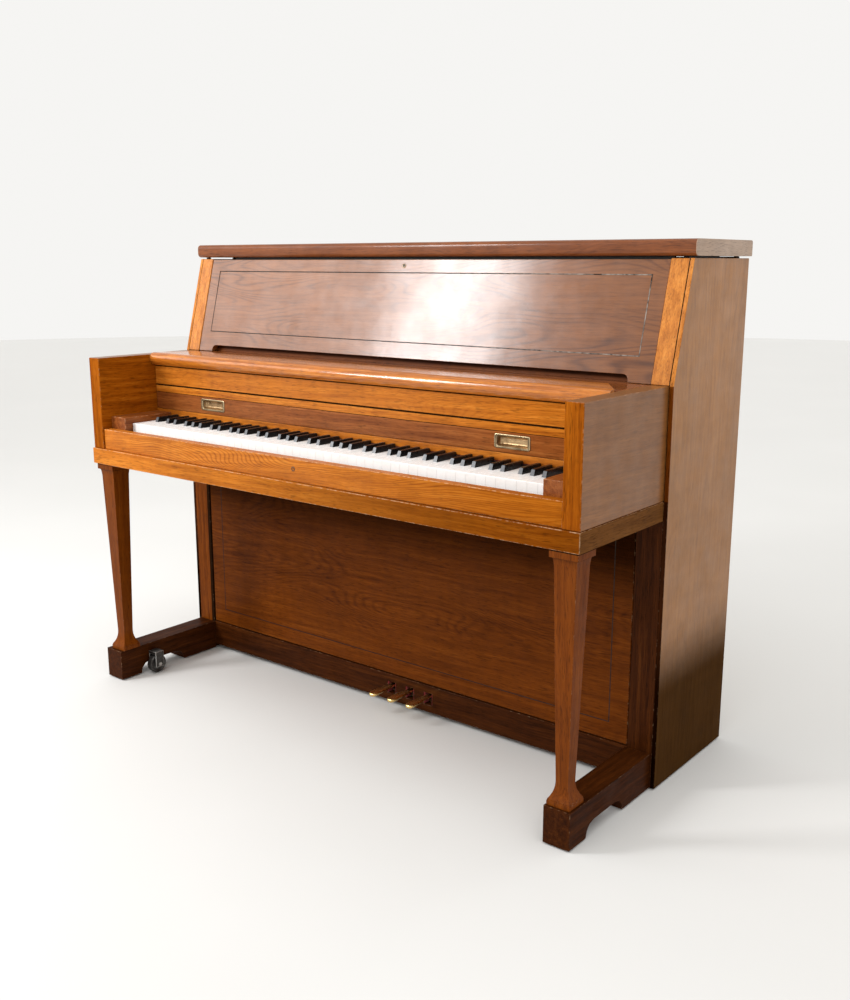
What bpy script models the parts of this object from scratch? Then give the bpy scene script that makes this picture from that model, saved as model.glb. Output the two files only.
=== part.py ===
"""Upright studio piano: case, keyboard, fallboard, pedals, hammers, back and casters as separate named parts.

Metres, +Z up.  The player sits on the -Y side, +X is the treble end, and the origin is at the middle of the
footprint, on the floor.
"""

import math

import bmesh
import bpy
from mathutils import Matrix, Vector

# ---- driving dimensions ------------------------------------------------------------------------------------
GAP = 0.0003                # clearance kept between touching parts

HALF_LID = 0.7235           # half the overall width, at the lid
HALF_CASE = 0.718           # outer face of the case sides
SIDE_THICK = 0.020
FRONT = -0.325              # foremost face: the keybed rim
CASE_BACK = 0.324           # rear edge of the case sides
LID_BACK = 0.325

KNEE_Y = -0.004             # vertical front of the lower case
TOP_Y = 0.060               # front of the case at its top edge
KINK_Z = 0.841              # height where the front starts to lean back
SIDE_TOP = 1.081
LID_LOW = 1.0850
LID_HIGH = 1.1175
LID_FRONT = 0.054
FLOOR_CLEAR = 0.003         # the woodwork stands this far above the floor, on its casters

RABBET_X = 0.7096           # inner face of the thin front lip of each side
RABBET_DEPTH = 0.022
STILE_OUT = RABBET_X - GAP
UPPER_STILE_IN = 0.6693
LOWER_STILE_IN = 0.653

ARM_IN = 0.6693
ARM_OUT = 0.708
ARM_FRONT = -0.321
ARM_TOP = KINK_Z - GAP

KEYBED_LOW = 0.575
KEYBED_HIGH = 0.614
RIM_OUT = 0.710
RIM_IN = 0.690
BETWEEN_ARMS = ARM_IN - 2 * GAP

SLIP_FRONT = -0.317
SLIP_THICK = 0.023
SLIP_TOP = 0.664

WHITE_PITCH = 0.0235        # standard width of one natural
WHITE_COUNT = 52
KEY_BLOCK = WHITE_PITCH * WHITE_COUNT / 2
KEY_FRONT = -0.272
KEY_BACK = 0.100
KEY_LOW = 0.657
WHITE_TOP = 0.679
SHARP_TOP = 0.691
HEAD_LENGTH = 0.050
KEY_CLEAR = 0.0010          # side gap between neighbouring keys
BALANCE_Y = -0.050          # pivot line of the keys
KEY_WEB = 0.014             # tie bar behind a group of keys

FACE_Y = -0.150             # common front plane of the fallboard lip and the fascia above it
BOARD = 0.018
LIP_LOW = 0.7013
LIP_HIGH = 0.7625
FASCIA_LOW = 0.7633
FASCIA_HIGH = 0.8125
LEDGE_TOP = 0.8455
LEDGE_BACK = -0.068
PULL_X = 0.448
PULL_Z = 0.7245
PULL_SIZE = (0.086, 0.029)

TOE_TOP = 0.0793
TOE_IN = 0.649
TOE_OUT = 0.707
LEG_CENTRES = {"left": (-0.671, -0.290), "right": (0.677, -0.293)}

PEDAL_X = (0.005, 0.062, 0.119)
PEDAL_PIVOT = Vector((0.0, 0.100, 0.052))

WHEEL_R = 0.025
WHEEL_SIDES = 24
WHEEL_Z = WHEEL_R * math.cos(math.pi / WHEEL_SIDES)
CASTERS = {
    "front_left": (-0.6325, -0.225),
    "front_right": (0.6325, -0.225),
    "rear_left": (-0.640, 0.272),
    "rear_right": (0.640, 0.272),
}

POSTS_FRONT = 0.262
POSTS_BACK = 0.322
HALF_INSIDE = HALF_CASE - SIDE_THICK - GAP

HAMMER_PIVOT = Vector((0.0, 0.105, 0.862))
LID_AXIS = Vector((0.0, 0.3215, 1.0817))

# ---- finishes ----------------------------------------------------------------------------------------------
WALNUT_FRONT = (0.42, 0.17, 0.045)
WALNUT_SIDE = (0.20, 0.105, 0.062)
WALNUT_DARK = (0.15, 0.045, 0.018)
WALNUT_PANEL = (0.24, 0.085, 0.035)
RAW_SPRUCE = (0.56, 0.38, 0.20)
RAW_BEECH = (0.45, 0.30, 0.17)
IVORY_WHITE = (0.88, 0.87, 0.83)
EBONY_BLACK = (0.012, 0.012, 0.013)
BRASS = (0.55, 0.38, 0.14)
PLATE_BRONZE = (0.45, 0.30, 0.10)
CASTER_GREY = (0.05, 0.05, 0.055)
FELT_WHITE = (0.70, 0.68, 0.62)


def clear_scene():
    for obj in list(bpy.data.objects):
        bpy.data.objects.remove(obj, do_unlink=True)


def finish(obj, color, roughness=0.35, metallic=0.0):
    """Give the part its own Principled material."""
    material = bpy.data.materials.new(obj.name)
    material.use_nodes = True
    shader = material.node_tree.nodes["Principled BSDF"]
    shader.inputs["Base Color"].default_value = (*color, 1.0)
    shader.inputs["Roughness"].default_value = roughness
    shader.inputs["Metallic"].default_value = metallic
    obj.data.materials.clear()
    obj.data.materials.append(material)
    return obj


def new_object(name, bm):
    """Turn a bmesh into a linked object with outward normals."""
    bmesh.ops.recalc_face_normals(bm, faces=bm.faces)
    mesh = bpy.data.meshes.new(name)
    bm.to_mesh(mesh)
    bm.free()
    obj = bpy.data.objects.new(name, mesh)
    bpy.context.scene.collection.objects.link(obj)
    return obj


def prism(name, outline, axis, low, high):
    """Extrude a closed outline along an axis: outlines are (y, z) for x, (x, z) for y and (x, y) for z."""
    place = {
        "x": lambda a, b, t: (t, a, b),
        "y": lambda a, b, t: (a, t, b),
        "z": lambda a, b, t: (a, b, t),
    }[axis]
    bm = bmesh.new()
    face = bm.faces.new([bm.verts.new(place(a, b, low)) for a, b in outline])
    extruded = bmesh.ops.extrude_face_region(bm, geom=[face])["geom"]
    moved = [item for item in extruded if isinstance(item, bmesh.types.BMVert)]
    step = Vector(place(0.0, 0.0, high)) - Vector(place(0.0, 0.0, low))
    bmesh.ops.translate(bm, verts=moved, vec=step)
    return new_object(name, bm)


def box(name, xs, ys, zs, bevel=0.0):
    obj = prism(name, [(xs[0], ys[0]), (xs[1], ys[0]), (xs[1], ys[1]), (xs[0], ys[1])], "z", zs[0], zs[1])
    if bevel:
        soften(obj, bevel)
    return obj


def soften(obj, width, segments=2):
    """Round all sharp edges."""
    modifier = obj.modifiers.new("Bevel", "BEVEL")
    modifier.width = width
    modifier.segments = segments
    modifier.limit_method = "ANGLE"
    modifier.angle_limit = math.radians(40)
    return obj


def cylinder(name, centre, axis, radius, length, sides=16):
    bm = bmesh.new()
    turn = {"x": Matrix.Rotation(math.pi / 2, 4, "Y"), "y": Matrix.Rotation(math.pi / 2, 4, "X"), "z": Matrix()}
    spin = Matrix.Rotation(math.pi / sides, 4, "Z")
    bmesh.ops.create_cone(bm, cap_ends=True, segments=sides, radius1=radius, radius2=radius, depth=length,
                          matrix=Matrix.Translation(centre) @ turn[axis] @ spin)
    return new_object(name, bm)


def combine(target, tool, operation):
    """Boolean the tool into the target, then drop the tool."""
    modifier = target.modifiers.new("Boolean", "BOOLEAN")
    modifier.object = tool
    modifier.operation = operation
    modifier.solver = "EXACT"
    depsgraph = bpy.context.evaluated_depsgraph_get()
    mesh = bpy.data.meshes.new_from_object(target.evaluated_get(depsgraph))
    target.modifiers.clear()
    target.data = mesh
    bpy.data.objects.remove(tool, do_unlink=True)
    return target


def join(name, parts):
    """Merge loose bodies into one object, to use as a single Boolean tool."""
    bm = bmesh.new()
    for part in parts:
        bm.from_mesh(part.data)
        bpy.data.objects.remove(part, do_unlink=True)
    return new_object(name, bm)


def move_origin(obj, point):
    """Put the object's origin on its joint axis."""
    obj.data.transform(Matrix.Translation(-Vector(point)))
    obj.location = Vector(point)
    return obj


def mirrored(side, low, high):
    return (low, high) if side > 0 else (-high, -low)


def front_line(z):
    """Depth of the leaning front at a height."""
    return KNEE_Y + (TOP_Y - KNEE_Y) * (z - KINK_Z) / (SIDE_TOP - KINK_Z)


def arc(centre, radius, start, end, steps):
    """Points on a circular arc, with angles in degrees."""
    angles = [math.radians(start + (end - start) * i / steps) for i in range(steps + 1)]
    return [(centre[0] + radius * math.cos(a), centre[1] + radius * math.sin(a)) for a in angles]


# ---- case --------------------------------------------------------------------------------------------------
def case_side(name, side):
    low = FLOOR_CLEAR
    outline = [(KNEE_Y, low), (KNEE_Y, KINK_Z), (TOP_Y, SIDE_TOP), (CASE_BACK, SIDE_TOP), (CASE_BACK, low)]
    xs = mirrored(side, HALF_CASE - SIDE_THICK, HALF_CASE)
    panel = prism(name, outline, "x", *xs)
    over = 0.02
    lean = (TOP_Y - KNEE_Y) / (SIDE_TOP - KINK_Z)
    inner = KNEE_Y + RABBET_DEPTH
    strip = [
        (KNEE_Y - over, low - over),
        (KNEE_Y - over, KINK_Z),
        (TOP_Y + lean * over - over, SIDE_TOP + over),
        (TOP_Y + lean * over + RABBET_DEPTH, SIDE_TOP + over),
        (inner, KINK_Z),
        (inner, low - over),
    ]
    cut = prism("rabbet", strip, "x", *mirrored(side, HALF_CASE - SIDE_THICK - over, RABBET_X))
    combine(panel, cut, "DIFFERENCE")
    return finish(panel, WALNUT_SIDE, 0.38)


def upper_stile(name, side):
    low, high = KINK_Z + GAP, SIDE_TOP - GAP
    deep = RABBET_DEPTH - GAP
    outline = [(front_line(low), low), (front_line(high), high), (front_line(high) + deep, high),
               (front_line(low) + deep, low)]
    stile = prism(name, outline, "x", *mirrored(side, UPPER_STILE_IN, STILE_OUT))
    soften(stile, 0.001, 1)
    return finish(stile, WALNUT_FRONT, 0.32)


def lower_stile(name, side):
    xs = mirrored(side, LOWER_STILE_IN, STILE_OUT)
    stile = box(name, xs, (KNEE_Y, KNEE_Y + RABBET_DEPTH - GAP), (FLOOR_CLEAR, KEYBED_LOW - GAP), 0.001)
    return finish(stile, WALNUT_DARK, 0.35)


def arm(name, side):
    xs = mirrored(side, ARM_IN, ARM_OUT)
    ys = (ARM_FRONT, KNEE_Y + RABBET_DEPTH - GAP)
    return finish(box(name, xs, ys, (KEYBED_HIGH + GAP, ARM_TOP), 0.0015), WALNUT_SIDE, 0.34)


def lid():
    nose, heel = 0.010, 0.006
    ys, zs = (LID_FRONT, LID_BACK), (LID_LOW, LID_HIGH)
    outline = [(ys[1] - heel / 3, zs[0]), (ys[1], zs[0] + heel / 3)]
    outline += arc((ys[1] - heel, zs[1] - heel), heel, 0, 90, 4)
    outline += arc((ys[0] + nose, zs[1] - nose), nose, 90, 180, 5)
    outline += arc((ys[0] + nose, zs[0] + nose), nose, 180, 270, 5)
    board = prism("lid", outline, "x", -HALF_LID, HALF_LID)
    return finish(move_origin(board, LID_AXIS), WALNUT_SIDE, 0.3)


def lid_hinge():
    barrel = cylinder("lid_hinge", LID_AXIS, "x", 0.0027, 2 * HALF_CASE - 0.060, 12)
    leaf_y = (LID_AXIS.y - 0.0021, LID_AXIS.y - 0.0009)
    leaf = box("leaf", (-HALF_INSIDE + 0.010, HALF_INSIDE - 0.010), leaf_y, (SIDE_TOP - 0.0025, LID_AXIS.z))
    return finish(combine(barrel, leaf, "UNION"), BRASS, 0.35, 0.9)


def upper_panel():
    low, high = KINK_Z + 2 * GAP, SIDE_TOP - 0.002
    back = 0.002
    outline = [(front_line(low) + back, low), (front_line(high) + back, high),
               (front_line(high) + back + BOARD, high), (front_line(low) + back + BOARD, low)]
    panel = prism("upper_panel", outline, "x", -(UPPER_STILE_IN - 2 * GAP), UPPER_STILE_IN - 2 * GAP)
    half, top, corner = 0.6175, 0.857, 0.012
    slot = [(-half, low - 0.01)] + arc((-half + corner, top - corner), corner, 180, 90, 5)
    slot += arc((half - corner, top - corner), corner, 90, 0, 5) + [(half, low - 0.01)]
    combine(panel, prism("slot", slot, "y", -0.05, 0.08), "DIFFERENCE")
    return finish(panel, WALNUT_PANEL, 0.25)


def knee_panel():
    half = LOWER_STILE_IN - 0.0025
    panel = box("knee_panel", (-half, half), (-0.001, 0.017), (0.0815, KEYBED_LOW - 0.003), 0.0015)
    return finish(panel, WALNUT_PANEL, 0.3)


def toe_rail():
    half = LOWER_STILE_IN - GAP
    rail = box("toe_rail", (-half, half), (KNEE_Y, 0.016), (0.012, 0.0797))
    slots = []
    for x in PEDAL_X:
        slots.append(box("slot", (x - 0.013, x + 0.013), (-0.03, 0.04), (0.0305, 0.0605)))
    return finish(combine(rail, join("slots", slots), "DIFFERENCE"), WALNUT_DARK, 0.4)


def bottom_board():
    """Floor of the case, with the blocks that carry the pedal pins."""
    y0 = KNEE_Y + RABBET_DEPTH + GAP
    board = box("bottom_board", (-HALF_INSIDE, HALF_INSIDE), (y0, POSTS_FRONT - 0.025), (0.012, 0.030))
    pitch = PEDAL_X[1] - PEDAL_X[0]
    blocks = []
    for i in range(len(PEDAL_X) + 1):
        x = PEDAL_X[0] + (i - 0.5) * pitch
        blocks.append(box("block", (x - 0.014, x + 0.014), (0.080, 0.120), (0.025, 0.066)))
    return finish(combine(board, join("blocks", blocks), "UNION"), RAW_BEECH, 0.7)


def toe_block(name, side):
    """Long foot under each arm, arched so that it stands on its two ends."""
    low, arch = FLOOR_CLEAR, 0.031
    heel, toe = -0.119, -0.262
    rise = arch - low
    outline = [(FRONT + 0.001, low), (toe, low)]
    outline += [(toe + rise * (1 - math.cos(t)), low + rise * math.sin(t))
                for t in (math.radians(a) for a in (30, 60, 90))]
    outline += [(heel - rise * (1 - math.cos(t)), low + rise * math.sin(t))
                for t in (math.radians(a) for a in (90, 60, 30))]
    outline += [(heel, low), (KNEE_Y - GAP, low), (KNEE_Y - GAP, TOE_TOP), (FRONT + 0.001, TOE_TOP)]
    block = prism(name, outline, "x", *mirrored(side, TOE_IN, TOE_OUT))
    return finish(block, WALNUT_DARK, 0.35)


def front_leg(name, centre):
    """Square tapered leg with a capital and a hollow flare above its foot."""
    rings = [(TOE_TOP + GAP, 0.0255), (0.088, 0.0255), (0.088, 0.0245), (0.0915, 0.0245)]
    flare_low, flare_high, wide, narrow = 0.0915, 0.128, 0.0240, 0.0135
    for i in range(7):
        t = i / 6
        rings.append((flare_low + (flare_high - flare_low) * t, narrow + (wide - narrow) * (1 - t) ** 2.4))
    rings += [(0.545, 0.0235), (0.5565, 0.0250), (0.5605, 0.0265), (0.5605, 0.0305), (KEYBED_LOW - GAP, 0.0305)]
    bm = bmesh.new()
    loops = []
    for z, half in rings:
        corners = [(-half, -half), (half, -half), (half, half), (-half, half)]
        loops.append([bm.verts.new((centre[0] + a, centre[1] + b, z)) for a, b in corners])
    for below, above in zip(loops, loops[1:]):
        for i in range(4):
            bm.faces.new((below[i], below[(i + 1) % 4], above[(i + 1) % 4], above[i]))
    bm.faces.new(loops[0])
    bm.faces.new(loops[-1])
    return finish(new_object(name, bm), WALNUT_DARK, 0.32)


# ---- keyboard and its surround -----------------------------------------------------------------------------
def keybed():
    """Bed board with the front, balance and back rails glued on."""
    half = RIM_IN - GAP
    bed = box("keybed", (-half, half), (FRONT + 0.0223, 0.160), (KEYBED_LOW + GAP, KEYBED_HIGH))
    half = KEY_BLOCK - 0.001
    rails = [(-0.262, 0.022, 0.644), (BALANCE_Y - 0.012, 0.024, KEY_LOW - 0.001), (0.050, 0.030, 0.650)]
    tools = []
    for start, width, top in rails:
        tools.append(box("rail", (-half, half), (start, start + width), (KEYBED_HIGH - 0.005, top)))
    return finish(combine(bed, join("rails", tools), "UNION"), RAW_BEECH, 0.6)


def keybed_rim():
    """Mitred edging round the front and both ends of the keybed."""
    back, inner_front = KNEE_Y - GAP, FRONT + 0.022
    outline = [(-RIM_OUT, FRONT), (RIM_OUT, FRONT), (RIM_OUT, back), (RIM_IN, back), (RIM_IN, inner_front),
               (-RIM_IN, inner_front), (-RIM_IN, back), (-RIM_OUT, back)]
    rim = prism("keybed_rim", outline, "z", KEYBED_LOW, KEYBED_HIGH)
    return finish(rim, WALNUT_FRONT, 0.33)


def key_slip():
    ys = (SLIP_FRONT, SLIP_FRONT + SLIP_THICK)
    slip = box("key_slip", (-BETWEEN_ARMS, BETWEEN_ARMS), ys, (KEYBED_HIGH + GAP, SLIP_TOP), 0.0015)
    return finish(slip, WALNUT_FRONT, 0.3)


def key_block(name, side):
    xs = mirrored(side, KEY_BLOCK + 0.001, BETWEEN_ARMS)
    ys = (SLIP_FRONT + SLIP_THICK + GAP, FACE_Y - GAP)
    block = box(name, xs, ys, (KEYBED_HIGH + GAP, 0.694), 0.0015)
    return finish(block, WALNUT_PANEL, 0.35)


def nameboard():
    half = BETWEEN_ARMS
    board = box("nameboard", (-half, half), (FACE_Y, FACE_Y + 0.014), (0.6845, LIP_LOW - 0.0008))
    return finish(board, WALNUT_FRONT, 0.3)


def fascia_board():
    ys = (FACE_Y, FACE_Y + BOARD)
    board = box("fascia_board", (-BETWEEN_ARMS, BETWEEN_ARMS), ys, (FASCIA_LOW, FASCIA_HIGH), 0.0008)
    return finish(board, WALNUT_FRONT, 0.28)


def shelf():
    ys = (FACE_Y + BOARD + GAP, 0.080)
    board = box("shelf", (-BETWEEN_ARMS, BETWEEN_ARMS), ys, (0.822, ARM_TOP))
    return finish(board, WALNUT_FRONT, 0.3)


def music_ledge():
    """Raised front board of the music shelf, with a rounded nose and clipped rear corners."""
    nose = (LEDGE_TOP - FASCIA_HIGH - GAP) / 2
    nose_y = FACE_Y - 0.001
    middle = LEDGE_TOP - nose
    step = ARM_TOP + GAP
    back = FACE_Y + BOARD
    outline = arc((nose_y, middle), nose, 90, 270, 10)
    outline += [(back, LEDGE_TOP - 2 * nose), (back, step), (LEDGE_BACK, step), (LEDGE_BACK, LEDGE_TOP)]
    board = prism("music_ledge", outline, "x", -BETWEEN_ARMS, BETWEEN_ARMS)
    clip, run = 0.058, 0.080
    corners = []
    for side in (-1, 1):
        edge = side * (BETWEEN_ARMS + 0.001)
        rear = LEDGE_BACK + 0.001
        triangle = [(edge, rear), (edge, LEDGE_BACK - run), (edge - side * clip, rear)]
        corners.append(prism("corner", triangle, "z", step - 0.01, LEDGE_TOP + 0.01))
    return finish(combine(board, join("corners", corners), "DIFFERENCE"), WALNUT_FRONT, 0.25)


def fallboard():
    """Board that slides out over the keys, with a lip that holds the two pulls."""
    half = BETWEEN_ARMS - 0.0005
    lip_back = FACE_Y + 0.016
    under = LIP_HIGH - BOARD
    outline = [(FACE_Y, LIP_LOW), (FACE_Y, LIP_HIGH), (FACE_Y + 0.165, LIP_HIGH), (FACE_Y + 0.165, under),
               (lip_back, under), (lip_back, LIP_LOW)]
    board = prism("fallboard", outline, "x", -half, half)
    pockets = []
    for side in (-1, 1):
        wide, high = PULL_SIZE[0] / 2 - 0.006, PULL_SIZE[1] / 2 - 0.004
        xs = (side * PULL_X - wide, side * PULL_X + wide)
        pockets.append(box("pocket", xs, (FACE_Y - 0.01, FACE_Y + 0.012), (PULL_Z - high, PULL_Z + high)))
    combine(board, join("pockets", pockets), "DIFFERENCE")
    return finish(board, WALNUT_PANEL, 0.28)


def pull(name, side):
    """Recessed finger pull: a flange on the lip and a cup let into it."""
    x = side * PULL_X
    wide, high = PULL_SIZE[0] / 2, PULL_SIZE[1] / 2
    flange_y = (FACE_Y - GAP - 0.0016, FACE_Y - GAP)
    body = box(name, (x - wide, x + wide), flange_y, (PULL_Z - high, PULL_Z + high))
    wide, high = wide - 0.0065, high - 0.0045
    cup = box("cup", (x - wide, x + wide), (FACE_Y - 0.0012, FACE_Y + 0.0112), (PULL_Z - high, PULL_Z + high))
    combine(body, cup, "UNION")
    wide, high = wide - 0.0015, high - 0.0015
    hollow = box("hollow", (x - wide, x + wide), (FACE_Y - 0.01, FACE_Y + 0.0098), (PULL_Z - high, PULL_Z + high))
    return finish(combine(body, hollow, "DIFFERENCE"), BRASS, 0.35, 0.9)


def key_layout():
    """Every key from A0 to C8 as (name, sharp, tail left, tail right, head left, head right)."""
    letters = ["c", "c_sharp", "d", "d_sharp", "e", "f", "f_sharp", "g", "g_sharp", "a", "a_sharp", "b"]
    keys = []
    first_c = -KEY_BLOCK + 2 * WHITE_PITCH
    for number in range(88):
        semitone = (number + 9) % 12
        octave = (number + 9) // 12
        left = first_c + (octave - 1) * 7 * WHITE_PITCH
        if semitone < 5:
            slot, start, index = 3 * WHITE_PITCH / 5, left, semitone
        else:
            slot, start, index = 4 * WHITE_PITCH / 7, left + 3 * WHITE_PITCH, semitone - 5
        sharp = letters[semitone].endswith("sharp")
        white = sum(not letters[s].endswith("sharp") for s in range(semitone))
        head = left + white * WHITE_PITCH
        tail = (start + index * slot, start + (index + 1) * slot)
        if number == 0:
            tail = (head, tail[1])
        if number == 87:
            tail = (head, head + WHITE_PITCH)
        keys.append((letters[semitone] + str(octave), sharp, *tail, head, head + WHITE_PITCH))
    return keys


def key_tooth(key, root):
    """Plan outline of one key, from its left root to its right root."""
    _, sharp, tail_left, tail_right, head_left, head_right = key
    ease = KEY_CLEAR / 2
    a, b, c, d = tail_left + ease, tail_right - ease, head_left + ease, head_right - ease
    shoulder = KEY_FRONT + HEAD_LENGTH
    if sharp:
        return [(a, root), (a, shoulder + KEY_CLEAR), (b, shoulder + KEY_CLEAR), (b, root)]
    points = [(a, root), (a, shoulder), (c, shoulder), (c, KEY_FRONT), (d, KEY_FRONT), (d, shoulder),
              (b, shoulder), (b, root)]
    return [p for i, p in enumerate(points) if i == 0 or (Vector(p) - Vector(points[i - 1])).length > 1e-6]


def sharp_cap(key):
    """Tapered black cap that stands on a sharp's stick."""
    middle = (key[2] + key[3]) / 2
    low, high = WHITE_TOP - 0.001, SHARP_TOP
    y0, y1 = KEY_FRONT + HEAD_LENGTH + KEY_CLEAR + 0.0005, FACE_Y - 0.0035
    bm = bmesh.new()
    base = [bm.verts.new((middle + a * 0.0057, y, low)) for a, y in ((-1, y0), (1, y0), (1, y1), (-1, y1))]
    top = [bm.verts.new((middle + a * 0.0046, y, high)) for a, y in ((-1, y0 + 0.005), (1, y0 + 0.005), (1, y1), (-1, y1))]
    for i in range(4):
        bm.faces.new((base[i], base[(i + 1) % 4], top[(i + 1) % 4], top[i]))
    bm.faces.new(base)
    bm.faces.new(top)
    return new_object("cap", bm)


def key_body(name, keys, color):
    """One key, or a run of keys tied together by a bar at their rear ends."""
    root = KEY_BACK if len(keys) == 1 else KEY_BACK - KEY_WEB
    outline = []
    for key in keys:
        outline += key_tooth(key, root)
    if len(keys) > 1:
        outline += [(outline[-1][0], KEY_BACK), (outline[0][0], KEY_BACK)]
    body = prism(name, outline, "z", KEY_LOW, WHITE_TOP)
    caps = [sharp_cap(key) for key in keys if key[1]]
    if caps:
        combine(body, join("caps", caps), "UNION")
    move_origin(body, (0.0, BALANCE_Y, KEY_LOW))
    return finish(body, color, 0.25)


def keyboard():
    keys = key_layout()
    middle = [i for i, key in enumerate(keys) if key[0].endswith("4")]
    key_body("bass_keys", keys[:middle[0]], IVORY_WHITE)
    for i in middle:
        key_body("key_" + keys[i][0], [keys[i]], EBONY_BLACK if keys[i][1] else IVORY_WHITE)
    key_body("treble_keys", keys[middle[-1] + 1:], IVORY_WHITE)


# ---- inside ------------------------------------------------------------------------------------------------
def back_frame():
    """Wooden back: pin block and top beam, bottom beam and five posts."""
    half = HALF_INSIDE
    frame = box("back_frame", (-half, half), (0.2023, POSTS_BACK), (0.965, SIDE_TOP - 0.003))
    shared = 0.010
    parts = [box("beam", (-half, half), (POSTS_FRONT - 0.024, POSTS_BACK), (0.075, 0.175))]
    combine(frame, post("post", -half, -half + 0.055, POSTS_FRONT - 0.024, shared), "UNION")
    combine(frame, post("post", half - 0.055, half, POSTS_FRONT - 0.024, shared), "UNION")
    for x in (-0.330, 0.0, 0.330):
        combine(frame, post("post", x - 0.032, x + 0.032, POSTS_FRONT, shared), "UNION")
    for part in parts:
        combine(frame, part, "UNION")
    return finish(frame, RAW_BEECH, 0.7)


def post(name, x0, x1, front, shared):
    return box(name, (x0, x1), (front, POSTS_BACK - 0.001), (0.175 - shared, 0.965 + shared))


def soundboard():
    """Thin spruce panel with slanting ribs on its rear."""
    half, low, high = 0.6355, 0.180, 0.958
    y0, y1 = 0.2275, 0.2375
    outer = 0.690
    board = box("soundboard", (-outer, outer), (y0, y1 - 0.0002), (0.110, 0.9645))
    rise = 0.45
    for i in range(9):
        level = -0.05 + i * 0.15
        ends = []
        for x in (-half, half):
            ends.append((x, level + rise * (x + half)))
        (xa, za), (xb, zb) = ends
        if za < low:
            xa, za = xa + (low - za) / rise, low
        if zb > high:
            xb, zb = xb - (zb - high) / rise, high
        if xb - xa < 0.15:
            continue
        wide = 0.011
        rib = [(xa, za), (xa + wide, za), (xb, zb - wide * rise), (xb, zb)]
        combine(board, prism("rib", rib, "y", y1 - 0.004, y1 + 0.017), "UNION")
    return finish(board, RAW_SPRUCE, 0.55)


def iron_plate():
    """Cast plate with windows between its struts."""
    y0, y1 = 0.190, 0.2020
    plate = box("iron_plate", (-0.688, 0.688), (y0, y1), (0.110, 1.060))
    bays = [(-0.640, -0.420), (-0.375, -0.150), (-0.105, 0.120), (0.165, 0.390), (0.435, 0.640)]
    windows = [box("window", (a, b), (y0 - 0.02, y1 + 0.02), (0.270, 0.930)) for a, b in bays]
    return finish(combine(plate, join("windows", windows), "DIFFERENCE"), PLATE_BRONZE, 0.4, 0.7)


def action_frame():
    """Main rail and four brackets that stand on the keybed."""
    frame = box("action_frame", (-0.640, 0.640), (0.116, 0.142), (0.800, 0.836))
    for x in (-0.640, -0.2125, 0.2125, 0.640):
        bracket = [(0.110, KEYBED_HIGH + GAP), (0.155, KEYBED_HIGH + GAP), (0.148, 0.880), (0.120, 0.880),
                   (0.112, 0.760)]
        combine(frame, prism("bracket", bracket, "x", x - 0.004, x + 0.004), "UNION")
    return finish(frame, RAW_BEECH, 0.55)


def hammer_set():
    """The 88 hammers on their common rest line, which the soft pedal carries toward the strings."""
    rail = box("hammer_set", (-0.622, 0.622), (HAMMER_PIVOT.y - 0.007, HAMMER_PIVOT.y + 0.007),
               (HAMMER_PIVOT.z - 0.007, HAMMER_PIVOT.z + 0.007))
    pitch = 2 * KEY_BLOCK / 88
    y = HAMMER_PIVOT.y
    hammers = []
    for i in range(88):
        x = -KEY_BLOCK + (i + 0.5) * pitch
        hammers.append(prism("hammer", hammer_outline(y), "x", x - 0.0042, x + 0.0042))
    combine(rail, join("hammers", hammers), "UNION")
    move_origin(rail, HAMMER_PIVOT)
    return finish(rail, FELT_WHITE, 0.8)


def hammer_outline(y):
    """Side view of a hammer: shank, felt head and tail."""
    z = HAMMER_PIVOT.z
    return [(y - 0.003, z), (y + 0.003, z), (y + 0.003, z + 0.108), (y + 0.016, z + 0.108),
            (y + 0.026, z + 0.119), (y + 0.016, z + 0.130), (y - 0.012, z + 0.126), (y - 0.012, z + 0.112),
            (y - 0.003, z + 0.110)]


def pedal(name, x):
    """Brass pedal: a rounded toe plate on a lever that passes through the toe rail."""
    tip = -0.081
    pad, neck = 0.0125, 0.0085
    outline = [(x - neck, 0.128), (x - neck, -0.010), (x - pad, -0.034), (x - pad, tip + pad)]
    outline += arc((x, tip + pad), pad, 180, 360, 8)[1:-1]
    outline += [(x + pad, tip + pad), (x + pad, -0.034), (x + neck, -0.010), (x + neck, 0.128)]
    body = prism(name, outline, "z", 0.0460, 0.0570)
    soften(body, 0.0015, 1)
    pivot = Vector((x, PEDAL_PIVOT.y, PEDAL_PIVOT.z))
    return finish(move_origin(body, pivot), BRASS, 0.3, 0.9)


# ---- casters -----------------------------------------------------------------------------------------------
def caster_wheel(name, x, y):
    centre = Vector((x, y, WHEEL_Z))
    wheel = cylinder(name, centre, "x", WHEEL_R, 0.018, WHEEL_SIDES)
    combine(wheel, cylinder("axle", centre, "x", 0.003, 0.030, 12), "UNION")
    return finish(move_origin(wheel, centre), CASTER_GREY, 0.5)


def caster_bracket(name, x, y, top):
    """Fork that straddles the wheel, open below."""
    inner, outer = 0.0115, 0.0150
    crown = WHEEL_Z + WHEEL_R + 0.002
    low = WHEEL_Z - 0.007
    outline = [(x - outer, low), (x - inner, low), (x - inner, crown), (x + inner, crown), (x + inner, low),
               (x + outer, low), (x + outer, top), (x - outer, top)]
    fork = prism(name, outline, "y", y - 0.013, y + 0.013)
    bore = cylinder("bore", Vector((x, y, WHEEL_Z)), "x", 0.0034, 0.05, 12)
    return finish(combine(fork, bore, "DIFFERENCE"), CASTER_GREY, 0.45, 0.8)


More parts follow.
